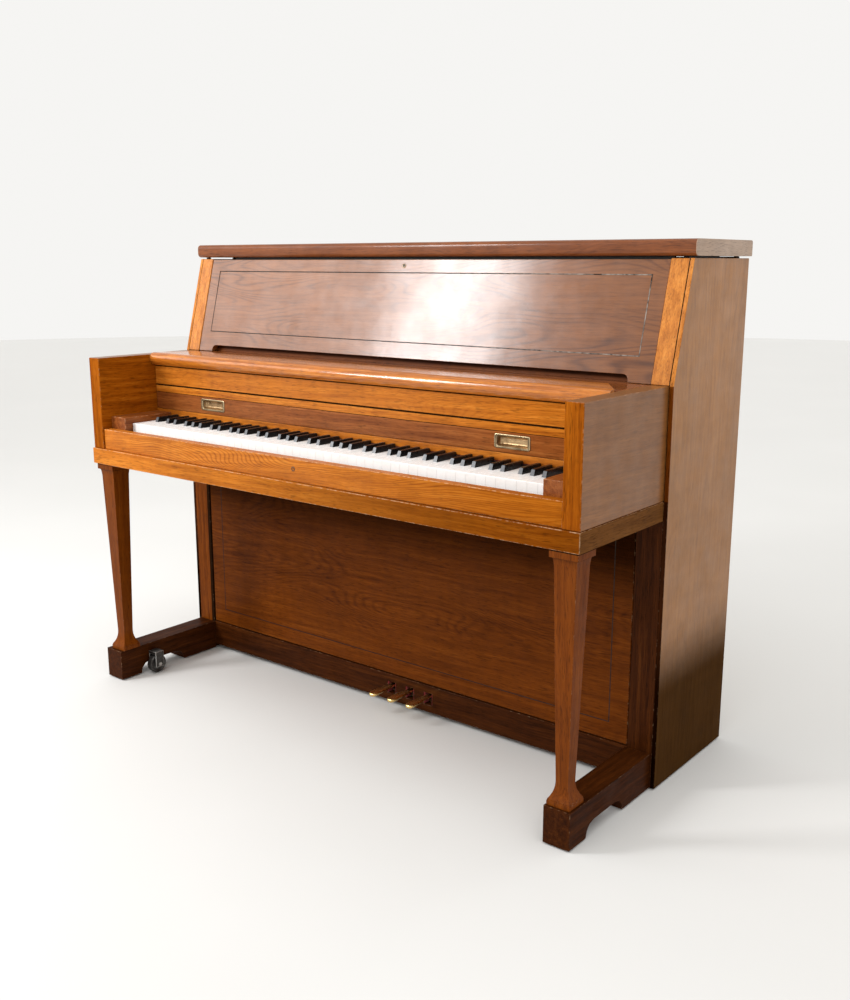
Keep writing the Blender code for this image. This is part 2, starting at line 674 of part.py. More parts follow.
def build():
    clear_scene()
    for word, side in (("left", -1), ("right", 1)):
        case_side("case_side_" + word, side)
        upper_stile("upper_stile_" + word, side)
        lower_stile("lower_stile_" + word, side)
        arm("arm_" + word, side)
        key_block("key_block_" + word, side)
        front_leg("front_leg_" + word, LEG_CENTRES[word])
        toe_block("toe_block_" + word, side)
        pull("pull_" + word, side)
    keybed()
    keybed_rim()
    key_slip()
    nameboard()
    fascia_board()
    shelf()
    music_ledge()
    upper_panel()
    fallboard()
    lid()
    lid_hinge()
    knee_panel()
    toe_rail()
    bottom_board()
    back_frame()
    soundboard()
    iron_plate()
    action_frame()
    hammer_set()
    keyboard()
    for word, x in zip(("left", "middle", "right"), PEDAL_X):
        pedal("pedal_" + word, x)
    for word, (x, y) in CASTERS.items():
        caster_wheel("caster_wheel_" + word, x, y)
        top = 0.0745 if word.startswith("rear") else 0.060
        caster_bracket("caster_bracket_" + word, x, y, top)


build()
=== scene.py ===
"""Upright studio piano: finishes, hardware, keys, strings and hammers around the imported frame."""

import math

import bmesh
import bpy
from mathutils import Matrix, Vector


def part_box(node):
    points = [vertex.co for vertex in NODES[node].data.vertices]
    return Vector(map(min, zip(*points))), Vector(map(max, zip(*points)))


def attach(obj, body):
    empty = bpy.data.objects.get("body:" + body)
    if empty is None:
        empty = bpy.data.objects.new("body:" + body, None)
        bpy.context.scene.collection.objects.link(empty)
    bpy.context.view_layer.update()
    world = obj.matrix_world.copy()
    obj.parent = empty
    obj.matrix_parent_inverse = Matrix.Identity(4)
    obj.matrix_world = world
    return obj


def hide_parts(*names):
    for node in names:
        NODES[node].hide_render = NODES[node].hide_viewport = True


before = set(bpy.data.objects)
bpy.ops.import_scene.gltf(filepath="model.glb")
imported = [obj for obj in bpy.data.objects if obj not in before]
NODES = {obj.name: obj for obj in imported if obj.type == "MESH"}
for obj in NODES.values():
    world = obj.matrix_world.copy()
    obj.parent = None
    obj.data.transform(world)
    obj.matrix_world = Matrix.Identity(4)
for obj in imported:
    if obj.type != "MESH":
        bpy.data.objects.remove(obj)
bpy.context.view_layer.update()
KEY_COUNT, NATURALS = 88, 52
KEYS_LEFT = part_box("bass_keys")[0].x - 0.0005
PITCH = -2 * KEYS_LEFT / NATURALS
STILE_DEPTH = 0.0217
CORNERS = ("front_left", "front_right", "rear_left", "rear_right")
PEDALS = ("left", "middle", "right")


def front_slope():
    """How far the front above the keyboard leans back for each unit of height."""
    low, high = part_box("upper_stile_right")
    return (high.y - STILE_DEPTH - low.y) / (high.z - low.z)


def placed(name, data):
    obj = bpy.data.objects.new(name, data)
    bpy.context.scene.collection.objects.link(obj)
    return obj


def mesh_object(name, bm):
    """Turn a bmesh into an object with its faces looking outward."""
    bmesh.ops.recalc_face_normals(bm, faces=bm.faces)
    mesh = bpy.data.meshes.new(name)
    bm.to_mesh(mesh)
    bm.free()
    return placed(name, mesh)


# ---- camera and stage ----
camera_data = bpy.data.cameras.new("camera")
camera = placed("camera", camera_data)
camera.location = (1.6269, -1.9078, 1.0739)
camera.rotation_euler = (math.radians(90 - 12.479), 0.0, math.radians(38.536))
camera_data.lens = 38.763
camera_data.sensor_width = 36.0
camera_data.clip_start = 0.01
camera_data.clip_end = 100.0
bpy.context.scene.camera = camera
bpy.context.scene.view_settings.view_transform = "Standard"


# ---- material nodes ----
class Tree:
    """Builds one procedural material."""

    def __init__(self, name):
        self.material = bpy.data.materials.new(name)
        self.material.use_nodes = True
        self.tree = self.material.node_tree
        self.shader = self.tree.nodes["Principled BSDF"]
        self.place = self.add("TexCoord").outputs["Object"]

    def add(self, kind, inputs=None, **settings):
        node = self.tree.nodes.new("ShaderNode" + kind)
        for key, value in settings.items():
            setattr(node, key, value)
        for key, value in (inputs or {}).items():
            self.feed(node.inputs[key], value)
        return node

    def feed(self, socket, value):
        if isinstance(value, bpy.types.NodeSocket):
            self.tree.links.new(value, socket)
        else:
            socket.default_value = value

    def set(self, **values):
        for key, value in values.items():
            self.feed(self.shader.inputs[key.replace("_", " ")], value)

    def math(self, operation, a, b=0.5, clamp=False):
        return self.add("Math", {0: a, 1: b}, operation=operation, use_clamp=clamp).outputs[0]

    def times(self, a, b, clamp=False):
        return self.math("MULTIPLY", a, b, clamp)

    def plus(self, a, b, clamp=False):
        return self.math("ADD", a, b, clamp)

    def move(self, vector, location=(0, 0, 0), rotation=(0, 0, 0), scale=(1, 1, 1)):
        node = self.add("Mapping", {"Vector": vector, "Location": location, "Rotation": rotation,
                                              "Scale": scale})
        return node.outputs[0]

    def noise(self, vector, scale=1.0, detail=2.0, roughness=0.5, distortion=0.0, output="Fac"):
        node = self.add("TexNoise", {"Vector": vector, "Scale": scale, "Detail": detail,
                                               "Roughness": roughness, "Distortion": distortion})
        return node.outputs[output]

    def remap(self, value, low, high, to_low=0.0, to_high=1.0, smooth=False):
        node = self.add("MapRange", {"Value": value, "From Min": low, "From Max": high,
                                               "To Min": to_low, "To Max": to_high},
                        interpolation_type="SMOOTHSTEP" if smooth else "LINEAR")
        return node.outputs[0]

    def mix(self, factor, a, b, blend="MIX"):
        node = self.add("Mix", data_type="RGBA", blend_type=blend)
        self.feed(node.inputs[0], factor)
        for socket, value in ((node.inputs[6], a), (node.inputs[7], b)):
            self.feed(socket, value if isinstance(value, bpy.types.NodeSocket) else (*value, 1.0))
        return node.outputs[2]

    def shade(self, color, factor):
        """Multiply a colour by a value."""
        gray = self.add("CombineColor", {0: factor, 1: factor, 2: factor}).outputs[0]
        return self.mix(1.0, color, gray, "MULTIPLY")

    def ramp(self, factor, stops):
        node = self.add("ValToRGB", {"Fac": factor})
        elements = node.color_ramp.elements
        while len(elements) < len(stops):
            elements.new(0.5)
        for element, (position, color) in zip(elements, stops):
            element.position = position
            element.color = (*color, 1.0)
        return node.outputs[0]

    def bump(self, height, strength, distance):
        return self.add("Bump", {"Height": height, "Strength": strength,
                                           "Distance": distance}).outputs[0]

    def split(self, vector):
        return self.add("SeparateXYZ", {0: vector}).outputs


def stretched(grain, along, across):
    return tuple(along if axis == grain else across for axis in "XYZ")


TONES = {
    "front": ((0.13, 0.027, 0.0022), (0.31, 0.080, 0.0062), (0.49, 0.148, 0.012), (0.68, 0.25, 0.034)),
    # The edge tone is a darker copy of the front tone; blended in toward the treble end of the rim and key
    # slip it is painted shade.
    "edge": ((0.085, 0.017, 0.0008), (0.20, 0.044, 0.0015), (0.31, 0.078, 0.003), (0.44, 0.13, 0.008)),
    "stile": ((0.22, 0.062, 0.008), (0.40, 0.125, 0.016), (0.56, 0.195, 0.028), (0.72, 0.29, 0.055)),
    "panel": ((0.050, 0.014, 0.004), (0.130, 0.040, 0.010), (0.220, 0.074, 0.018), (0.32, 0.12, 0.034)),
    "side": ((0.145, 0.054, 0.012), (0.25, 0.099, 0.023), (0.345, 0.142, 0.033), (0.44, 0.195, 0.050)),
    "arm": ((0.088, 0.031, 0.008), (0.155, 0.057, 0.014), (0.218, 0.084, 0.021), (0.30, 0.120, 0.033)),
    "band": ((0.075, 0.017, 0.003), (0.17, 0.043, 0.008), (0.26, 0.074, 0.015), (0.36, 0.120, 0.028)),
    # The pale tone is a painted reflection on the lid's end faces.
    "pale": ((0.32, 0.215, 0.148), (0.36, 0.245, 0.172), (0.40, 0.275, 0.195), (0.44, 0.31, 0.225)),
    "lid": ((0.055, 0.013, 0.003), (0.125, 0.033, 0.008), (0.20, 0.058, 0.015), (0.29, 0.098, 0.028)),
    # The dark, knee and leg tones are darker copies of the same finish for the lower case: painted shade low
    # on the piano.
    "dark": ((0.009, 0.002, 0.0005), (0.025, 0.006, 0.001), (0.045, 0.011, 0.0018), (0.085, 0.024, 0.004)),
    "knee": ((0.022, 0.005, 0.0006), (0.065, 0.014, 0.0012), (0.12, 0.028, 0.0022), (0.20, 0.054, 0.005)),
    "leg": ((0.040, 0.008, 0.0006), (0.095, 0.020, 0.0012), (0.155, 0.036, 0.0024), (0.22, 0.060, 0.005)),
    "raw": ((0.17, 0.098, 0.048), (0.30, 0.19, 0.10), (0.42, 0.285, 0.165), (0.53, 0.385, 0.245)),
    "spruce": ((0.28, 0.15, 0.055), (0.43, 0.255, 0.105), (0.54, 0.345, 0.155), (0.63, 0.43, 0.22)),
}
# Pale tan of rubbed edges; it also stands as a painted highlight line along them.
PALE_WEAR_AND_HIGHLIGHT = (0.62, 0.40, 0.24)
# Near black for painted shadow lines in the joints and under overhangs.
PAINTED_SHADOW = (0.012, 0.006, 0.003)


def wood_pattern(t, place, grain, tone, seed, figure=0.3, slant=0.02, pores=0.4, ripple=0.05, rate=250.0,
                 thin=2.2, calm=1.0, lay=0.0, spread=0.44):
    """Colour and relief of one board: streaks, growth rings, pores, pin knots and cloudiness."""
    shift = (seed * 3.17 % 11, seed * 5.71 % 13, seed * 2.39 % 7)
    tilt = {"X": (0, slant, slant * 0.6), "Y": (slant, 0, slant), "Z": (slant, slant * 0.7, 0)}[grain]
    base = t.move(place, shift, tilt)

    def drawn_out(vector, along, across, **options):
        return t.noise(t.move(vector, scale=stretched(grain, along, across)), **options)

    sway = drawn_out(base, 3.2, 9.0, output="Color")
    offset = t.add("VectorMath", {0: sway, 1: (0.5, 0.5, 0.5)}, operation="SUBTRACT").outputs[0]
    push = t.add("VectorMath", {0: offset, 3: 0.020}, operation="SCALE").outputs[0]
    bent = t.add("VectorMath", {0: base, 1: push}, operation="ADD").outputs[0]
    streak = drawn_out(bent, 3.2, 105, detail=3, roughness=0.62)
    fine = drawn_out(bent, 16, 470, detail=3, roughness=0.7)
    field = drawn_out(bent, 1.1, 7.0, roughness=0.40)
    if lay:
        field = t.plus(field, t.times(t.split(bent)[2], lay))
    rings = t.math("SINE", t.times(field, rate))
    rings = t.math("POWER", t.remap(rings, -1.0, 1.0), thin)
    where = t.remap(drawn_out(base, 1.9, 6.5), spread, spread + 0.16)
    rings = t.times(t.times(rings, where), figure)
    dash = t.remap(drawn_out(bent, 44, 600, detail=1), 0.57, 0.70)
    cells = t.add("TexVoronoi", {"Vector": t.move(base, scale=stretched(grain, 2.6, 6.5)),
                                           "Scale": 1.0}, feature="F1")
    pin = t.remap(cells.outputs["Distance"], 0.015, 0.075, 1.0, 0.0, smooth=True)
    chosen = t.math("GREATER_THAN", t.split(cells.outputs["Color"])[0], 0.62)
    knots = t.times(t.times(pin, chosen), figure)
    mottle = t.noise(base, scale=5.0)
    ribbon = t.noise(t.move(base, (0, 0, 0), (0, 0.5, 0.5), stretched(grain, 42, 10)), detail=1)
    value = t.plus(t.remap(streak, 0.25, 0.75, 0.5 - 0.3 * calm, 0.5 + 0.3 * calm),
                   t.remap(fine, 0.25, 0.75, -0.17 * calm, 0.17 * calm))
    value = t.math("SUBTRACT", value, t.times(rings, 0.40))
    value = t.math("SUBTRACT", value, t.times(knots, 0.50))
    value = t.plus(value, 0.05 + figure * 0.10, clamp=True)
    color = t.ramp(value, list(zip((0.02, 0.32, 0.62, 0.96), TONES[tone])))
    light = t.plus(t.remap(mottle, 0.3, 0.7, 0.93, 1.07), t.remap(ribbon, 0.3, 0.7, -ripple, ripple))
    light = t.times(light, t.remap(dash, 0.0, 1.0, 1.0, 1.0 - pores))
    relief = t.math("SUBTRACT", t.times(fine, 0.35), t.times(dash, 0.6))
    return t.shade(color, light), relief


def wood(name, grain, tone, seed, gloss=0.3, haze=0.2, rough=0.46, shine=0.12, wear_and_highlight=0.0, fades=(),
         inserts=(), seams=(), **pattern):
    """Lacquered or bare wood.

    inserts are further boards or tones as (tone, grain, mask function, share of the gloss), some of them
    painted shade;
    the dark line masks are painted shadow lines in the joints and under overhangs, which also lose their
    gloss; the fading entries are (axis, clear, deep, shade, share of the gloss) for a board whose colour is
    painted darker, or lighter where the shade is over one, and whose gloss dulls from one coordinate to
    another: painted shade and light.
    """
    t = Tree(name)
    color, relief = wood_pattern(t, t.place, grain, tone, seed, **pattern)
    dust = t.noise(t.place, scale=14.0, detail=4, roughness=0.65)
    sheen = t.remap(dust, 0.25, 0.75, 1.0, 0.72)
    for number, (other, direction, mask, share) in enumerate(inserts):
        extra, _ = wood_pattern(t, t.place, direction, other, seed + 40 + number, figure=0.1)
        where = mask(t)
        color = t.mix(where, color, extra)
        sheen = t.times(sheen, t.remap(where, 0.0, 1.0, 1.0, share))
    # Painted shade and light: the colour is scaled along an axis, and the gloss dulled with it.
    for axis, clear, deep, shade, share in fades:
        amount = t.remap(t.split(t.place)["XYZ".index(axis)], clear, deep, smooth=True)
        color = t.shade(color, t.remap(amount, 0.0, 1.0, 1.0, shade))
        sheen = t.times(sheen, t.remap(amount, 0.0, 1.0, 1.0, share))
    # Painted shadow lines: near black, with no gloss.
    for mask in seams:
        where = mask(t)
        color = t.mix(t.times(where, 0.95), color, PAINTED_SHADOW)
        sheen = t.times(sheen, t.remap(where, 0.0, 1.0, 1.0, 0.0))
    # Pale marks on the eased edges: partly wear, partly a painted highlight line.
    if wear_and_highlight:
        chips_and_highlight = t.remap(t.noise(t.place, scale=110.0, detail=4, roughness=0.75), 0.60 - wear_and_highlight * 0.20, 0.74)
        color = t.mix(t.times(chips_and_highlight, wear_and_highlight, clamp=True), color, PALE_WEAR_AND_HIGHLIGHT)
    t.set(Base_Color=color)
    t.set(Roughness=t.remap(dust, 0.3, 0.7, rough - 0.07, rough + 0.10))
    t.set(Normal=t.bump(relief, 0.22 if gloss else 0.6, 0.0003))
    if gloss:
        t.set(Specular_IOR_Level=t.times(sheen, shine))
        t.set(Coat_Weight=t.times(sheen, gloss))
        t.set(Coat_Roughness=haze)
        peel = t.plus(t.noise(t.place, scale=38.0, detail=1), t.times(relief, 0.12))
        t.set(Coat_Normal=t.bump(peel, 0.10, 0.0006))
    else:
        t.set(Specular_IOR_Level=0.3)
    return t.material


def metal(name, color, dirt, rough=0.3, seed=0.0, metallic=1.0, tarnish=0.5, scratch=(90, 700, 90),
          relief=0.12):
    """Metal with clouds of tarnish and fine scratches; relief is the strength of its bump."""
    t = Tree(name)
    base = t.move(t.place, (seed, seed * 0.7, seed * 1.3))
    cloud = t.noise(base, scale=55.0, detail=4, roughness=0.65)
    fleck = t.noise(base, scale=420.0)
    lines = t.noise(t.move(base, scale=scratch))
    amount = t.times(t.remap(cloud, 0.40, 0.68), tarnish, clamp=True)
    shine = t.mix(amount, color, dirt)
    t.set(Base_Color=t.shade(shine, t.remap(fleck, 0.3, 0.7, 0.86, 1.10)))
    t.set(Roughness=t.plus(t.remap(lines, 0.3, 0.7, rough - 0.06, rough + 0.10),
                           t.times(amount, 0.25), clamp=True))
    t.set(Metallic=metallic)
    t.set(Normal=t.bump(t.plus(lines, fleck), relief, 0.0002))
    return t.material


def felt(name, color, seed=0.0):
    t = Tree(name)
    fuzz = t.noise(t.move(t.place, (seed, 0, seed)), scale=1400.0, detail=3, roughness=0.7)
    clump = t.noise(t.place, scale=160.0)
    light = t.plus(t.remap(fuzz, 0.3, 0.7, 0.72, 1.1), t.remap(clump, 0.3, 0.7, -0.12, 0.08))
    t.set(Base_Color=t.shade(color, light))
    t.set(Roughness=t.remap(clump, 0.3, 0.7, 0.86, 0.98))
    t.set(Sheen_Weight=0.35)
    t.set(Sheen_Roughness=0.45)
    t.set(Normal=t.bump(fuzz, 0.5, 0.0006))
    return t.material


def ivory(name):
    """Moulded key covering: the tint changes slightly from key to key, with clouds of grime."""
    t = Tree(name)
    cell = t.math("FLOOR", t.math("DIVIDE", t.split(t.place)[0], PITCH))
    tint = t.add("TexWhiteNoise", {"W": cell}, noise_dimensions="1D").outputs["Value"]
    color = t.mix(tint, (0.935, 0.93, 0.91), (0.965, 0.965, 0.955))
    cloud = t.noise(t.place, scale=90.0, detail=3)
    grime = t.times(t.remap(cloud, 0.45, 0.75), 0.12)
    color = t.mix(grime, color, (0.66, 0.60, 0.48))
    t.set(Base_Color=color)
    lines = t.noise(t.move(t.place, scale=(900, 60, 900)))
    t.set(Roughness=t.remap(lines, 0.3, 0.7, 0.16, 0.30))
    t.set(Normal=t.bump(lines, 0.06, 0.0002))
    return t.material


def ebony(name, dark=(0.003, 0.003, 0.004), light=(0.009, 0.0085, 0.008)):
    t = Tree(name)
    lines = t.noise(t.move(t.place, scale=(700, 40, 700)), detail=3)
    t.set(Base_Color=t.mix(t.remap(lines, 0.35, 0.7), dark, light))
    t.set(Roughness=t.remap(t.noise(t.place, scale=60.0, detail=3), 0.3, 0.7, 0.24, 0.34))
    t.set(Normal=t.bump(lines, 0.04, 0.0002))
    t.set(Specular_IOR_Level=0.3)
    return t.material


def paint(name, color, dark, rough=0.5, scale=80.0):
    t = Tree(name)
    cloud = t.noise(t.place, scale=scale, detail=4, roughness=0.6)
    grit = t.noise(t.place, scale=scale * 9)
    t.set(Base_Color=t.mix(t.remap(cloud, 0.35, 0.7), color, dark))
    t.set(Roughness=t.remap(grit, 0.3, 0.7, rough - 0.10, rough + 0.12))
    t.set(Normal=t.bump(grit, 0.25, 0.0004))
    return t.material


def inlay_line(name):
    """Dark line whose stain has worn to a pale grey toward the treble end."""
    t = Tree(name)
    x, _, z = t.split(t.place)
    patch = t.remap(t.noise(t.place, scale=70.0, detail=4, roughness=0.65), 0.34, 0.64)
    worn = t.times(patch, t.remap(x, 0.05, 0.55, 0.12, 1.0, smooth=True))
    worn = t.times(worn, t.remap(z, 0.6, 0.85, 0.06, 1.0))
    t.set(Base_Color=t.mix(worn, (0.016, 0.008, 0.005), (0.30, 0.255, 0.22)))
    t.set(Roughness=t.remap(patch, 0.0, 1.0, 0.50, 0.68))
    t.set(Normal=t.bump(patch, 0.2, 0.0003))
    t.set(Specular_IOR_Level=0.1)
    return t.material


BRASS = metal("brass_aged", (0.50, 0.37, 0.20), (0.15, 0.105, 0.06), 0.34, 1.0, tarnish=0.85)
BRASS_WORN = metal("brass_worn", (0.64, 0.50, 0.30), (0.26, 0.185, 0.10), 0.28, 2.0, tarnish=0.6)
BRASS_DULL = metal("brass_dull", (0.29, 0.22, 0.13), (0.10, 0.068, 0.036), 0.44, 9.0, tarnish=0.8)
BRASS_CUP = metal("brass_cup", (0.50, 0.34, 0.18), (0.12, 0.062, 0.028), 0.34, 11.0, tarnish=1.0,
                  scratch=(60, 60, 60), relief=0.02)
BRASS_BRIGHT = metal("brass_polished", (0.80, 0.58, 0.24), (0.42, 0.27, 0.10), 0.20, 3.0, tarnish=0.5)
IRON = metal("iron_dark", (0.11, 0.105, 0.10), (0.035, 0.028, 0.024), 0.42, 4.0, tarnish=0.8)
STEEL = metal("steel_worn", (0.52, 0.51, 0.49), (0.20, 0.17, 0.14), 0.30, 5.0, tarnish=0.6)
STEEL_WIRE = metal("steel_wire", (0.62, 0.61, 0.59), (0.40, 0.37, 0.33), 0.25, 6.0, tarnish=0.4)
COPPER_WIRE = metal("copper_wire", (0.62, 0.32, 0.17), (0.30, 0.16, 0.08), 0.35, 7.0, tarnish=0.5,
                    scratch=(300, 300, 2600))
BRONZE = metal("plate_bronze", (0.62, 0.45, 0.20), (0.42, 0.29, 0.12), 0.42, 8.0, 0.85, 0.5, (260, 260, 260))
IVORY = ivory("key_ivory")
EBONY = ebony("key_ebony")
# Lighter ebony for the sloping fronts of the sharps: a painted reflection.
EBONY_PAINTED_REFLECTION = ebony("key_ebony_painted_reflection", (0.075, 0.078, 0.086), (0.135, 0.14, 0.15))
DARK_VOID = paint("lock_shadow", (0.012, 0.009, 0.007), (0.022, 0.017, 0.013), 0.7)
RUBBER = paint("rubber_black", (0.018, 0.017, 0.016), (0.032, 0.030, 0.028), 0.62, 200.0)
INLAY = inlay_line("inlay_line")
FELT_WHITE = felt("felt_white", (0.74, 0.71, 0.63))
FELT_RED = felt("felt_red", (0.30, 0.020, 0.022), 2.0)
FELT_GREEN = felt("felt_green", (0.035, 0.12, 0.060), 3.0)


# ---- mesh helpers ----
def rounded(obj, width, segments=2, edge_slot=-1, keep_sharp=False):
    """Ease the edges of an object and even out its shading."""
    if width:
        modifier = obj.modifiers.new("Bevel", "BEVEL")
        modifier.width = width
        modifier.segments = segments
        modifier.limit_method = "ANGLE"
        modifier.angle_limit = math.radians(30)
        modifier.material = edge_slot
        modifier.use_clamp_overlap = True
    modifier = obj.modifiers.new("Normals", "WEIGHTED_NORMAL")
    modifier.mode = "FACE_AREA"
    modifier.weight = 100
    modifier.keep_sharp = keep_sharp


def dress(node, material, edge=None, width=0.0012, segments=2):
    """Give a CAD part its finish and eased edges."""
    obj = NODES[node]
    for slot in obj.material_slots:
        slot.material = material
    slot_index = -1
    if edge:
        obj.data.materials.append(edge)
        slot_index = len(obj.material_slots) - 1
    obj.data.polygons.foreach_set("use_smooth", [True] * len(obj.data.polygons))
    weld = obj.modifiers.new("Weld", "WELD")
    weld.merge_threshold = 0.00002
    rounded(obj, width, segments, slot_index)


def piece(name, bm, materials, body, width=0.0):
    """Turn a bmesh into a piece that rides on a body."""
    obj = mesh_object(name, bm)
    mesh = obj.data
    mesh.polygons.foreach_set("use_smooth", [True] * len(mesh.polygons))
    for material in materials if isinstance(materials, (list, tuple)) else [materials]:
        mesh.materials.append(material)
    mesh.set_sharp_from_angle(angle=math.radians(50))
    rounded(obj, width, keep_sharp=True)
    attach(obj, body)
    return obj


def loft(bm, rings, material=0):
    """Join rings of points into a closed skin; its faces come back in the order of the rings."""
    loops = [[bm.verts.new(p) for p in ring] for ring in rings]
    count = len(loops[0])
    made = []
    for a, b in zip(loops, loops[1:]):
        for i in range(count):
            j = (i + 1) % count
            made.append(bm.faces.new((a[i], a[j], b[j], b[i])))
    made += [bm.faces.new(loops[0]), bm.faces.new(loops[-1])]
    for face in made:
        face.material_index = material
    return made


def slab(bm, outline, low, high, material):
    """An outline in plan, carried up from one height to another."""
    return loft(bm, [[(x, y, z) for x, y in outline] for z in (low, high)], material)


def block(bm, low, high, material=0, ease=0.0):
    """A box, with its upright edges and its rims eased by a small chamfer."""
    (x0, y0, z0), (x1, y1, z1) = low, high
    if not ease:
        return slab(bm, [(x0, y0), (x1, y0), (x1, y1), (x0, y1)], z0, z1, material)
    e = ease
    outer = [(x0, y0 + e), (x0 + e, y0), (x1 - e, y0), (x1, y0 + e), (x1, y1 - e), (x1 - e, y1),
             (x0 + e, y1), (x0, y1 - e)]
    middle = ((x0 + x1) / 2, (y0 + y1) / 2)

    def inset(points):
        return [(x + math.copysign(e, middle[0] - x), y + math.copysign(e, middle[1] - y)) for x, y in points]

    rings = [(inset(outer), z0), (outer, z0 + e), (outer, z1 - e), (inset(outer), z1)]
    return loft(bm, [[(x, y, z) for x, y in ring] for ring, z in rings], material)


def lathe(bm, centre, axis, profile, sides=24, material=0):
    """Revolve (offset along the axis, radius) pairs round an axis."""
    rings = []
    for offset, radius in profile:
        ring = []
        for i in range(sides):
            angle = math.tau * i / sides
            a, b = radius * math.cos(angle), radius * math.sin(angle)
            local = {"X": (offset, a, b), "Y": (a, offset, b), "Z": (a, b, offset)}[axis]
            ring.append(Vector(centre) + Vector(local))
        rings.append(ring)
    return loft(bm, rings, material)


def tube(bm, points, radius, sides=8, material=0):
    """Round bar along a path."""
    rings = []
    points = [Vector(p) for p in points]
    for i, p in enumerate(points):
        ahead = (points[min(i + 1, len(points) - 1)] - points[max(i - 1, 0)]).normalized()
        side = ahead.cross(Vector((0.03, 0.11, 1.0)))
        if side.length < 0.2:
            side = ahead.cross(Vector((0.0, 1.0, 0.1)))
        side.normalize()
        other = ahead.cross(side)
        turns = [math.tau * k / sides for k in range(sides)]
        rings.append([p + radius * (side * math.cos(a) + other * math.sin(a)) for a in turns])
    return loft(bm, rings, material)


def rounded_rectangle(half_wide, half_high, radius, steps=5):
    points = []
    for sx, sz, start in ((1, 1, 0), (-1, 1, 90), (-1, -1, 180), (1, -1, 270)):
        for i in range(steps + 1):
            a = math.radians(start + 90 * i / steps)
            points.append((sx * (half_wide - radius) + radius * math.cos(a),
                           sz * (half_high - radius) + radius * math.sin(a)))
    return points


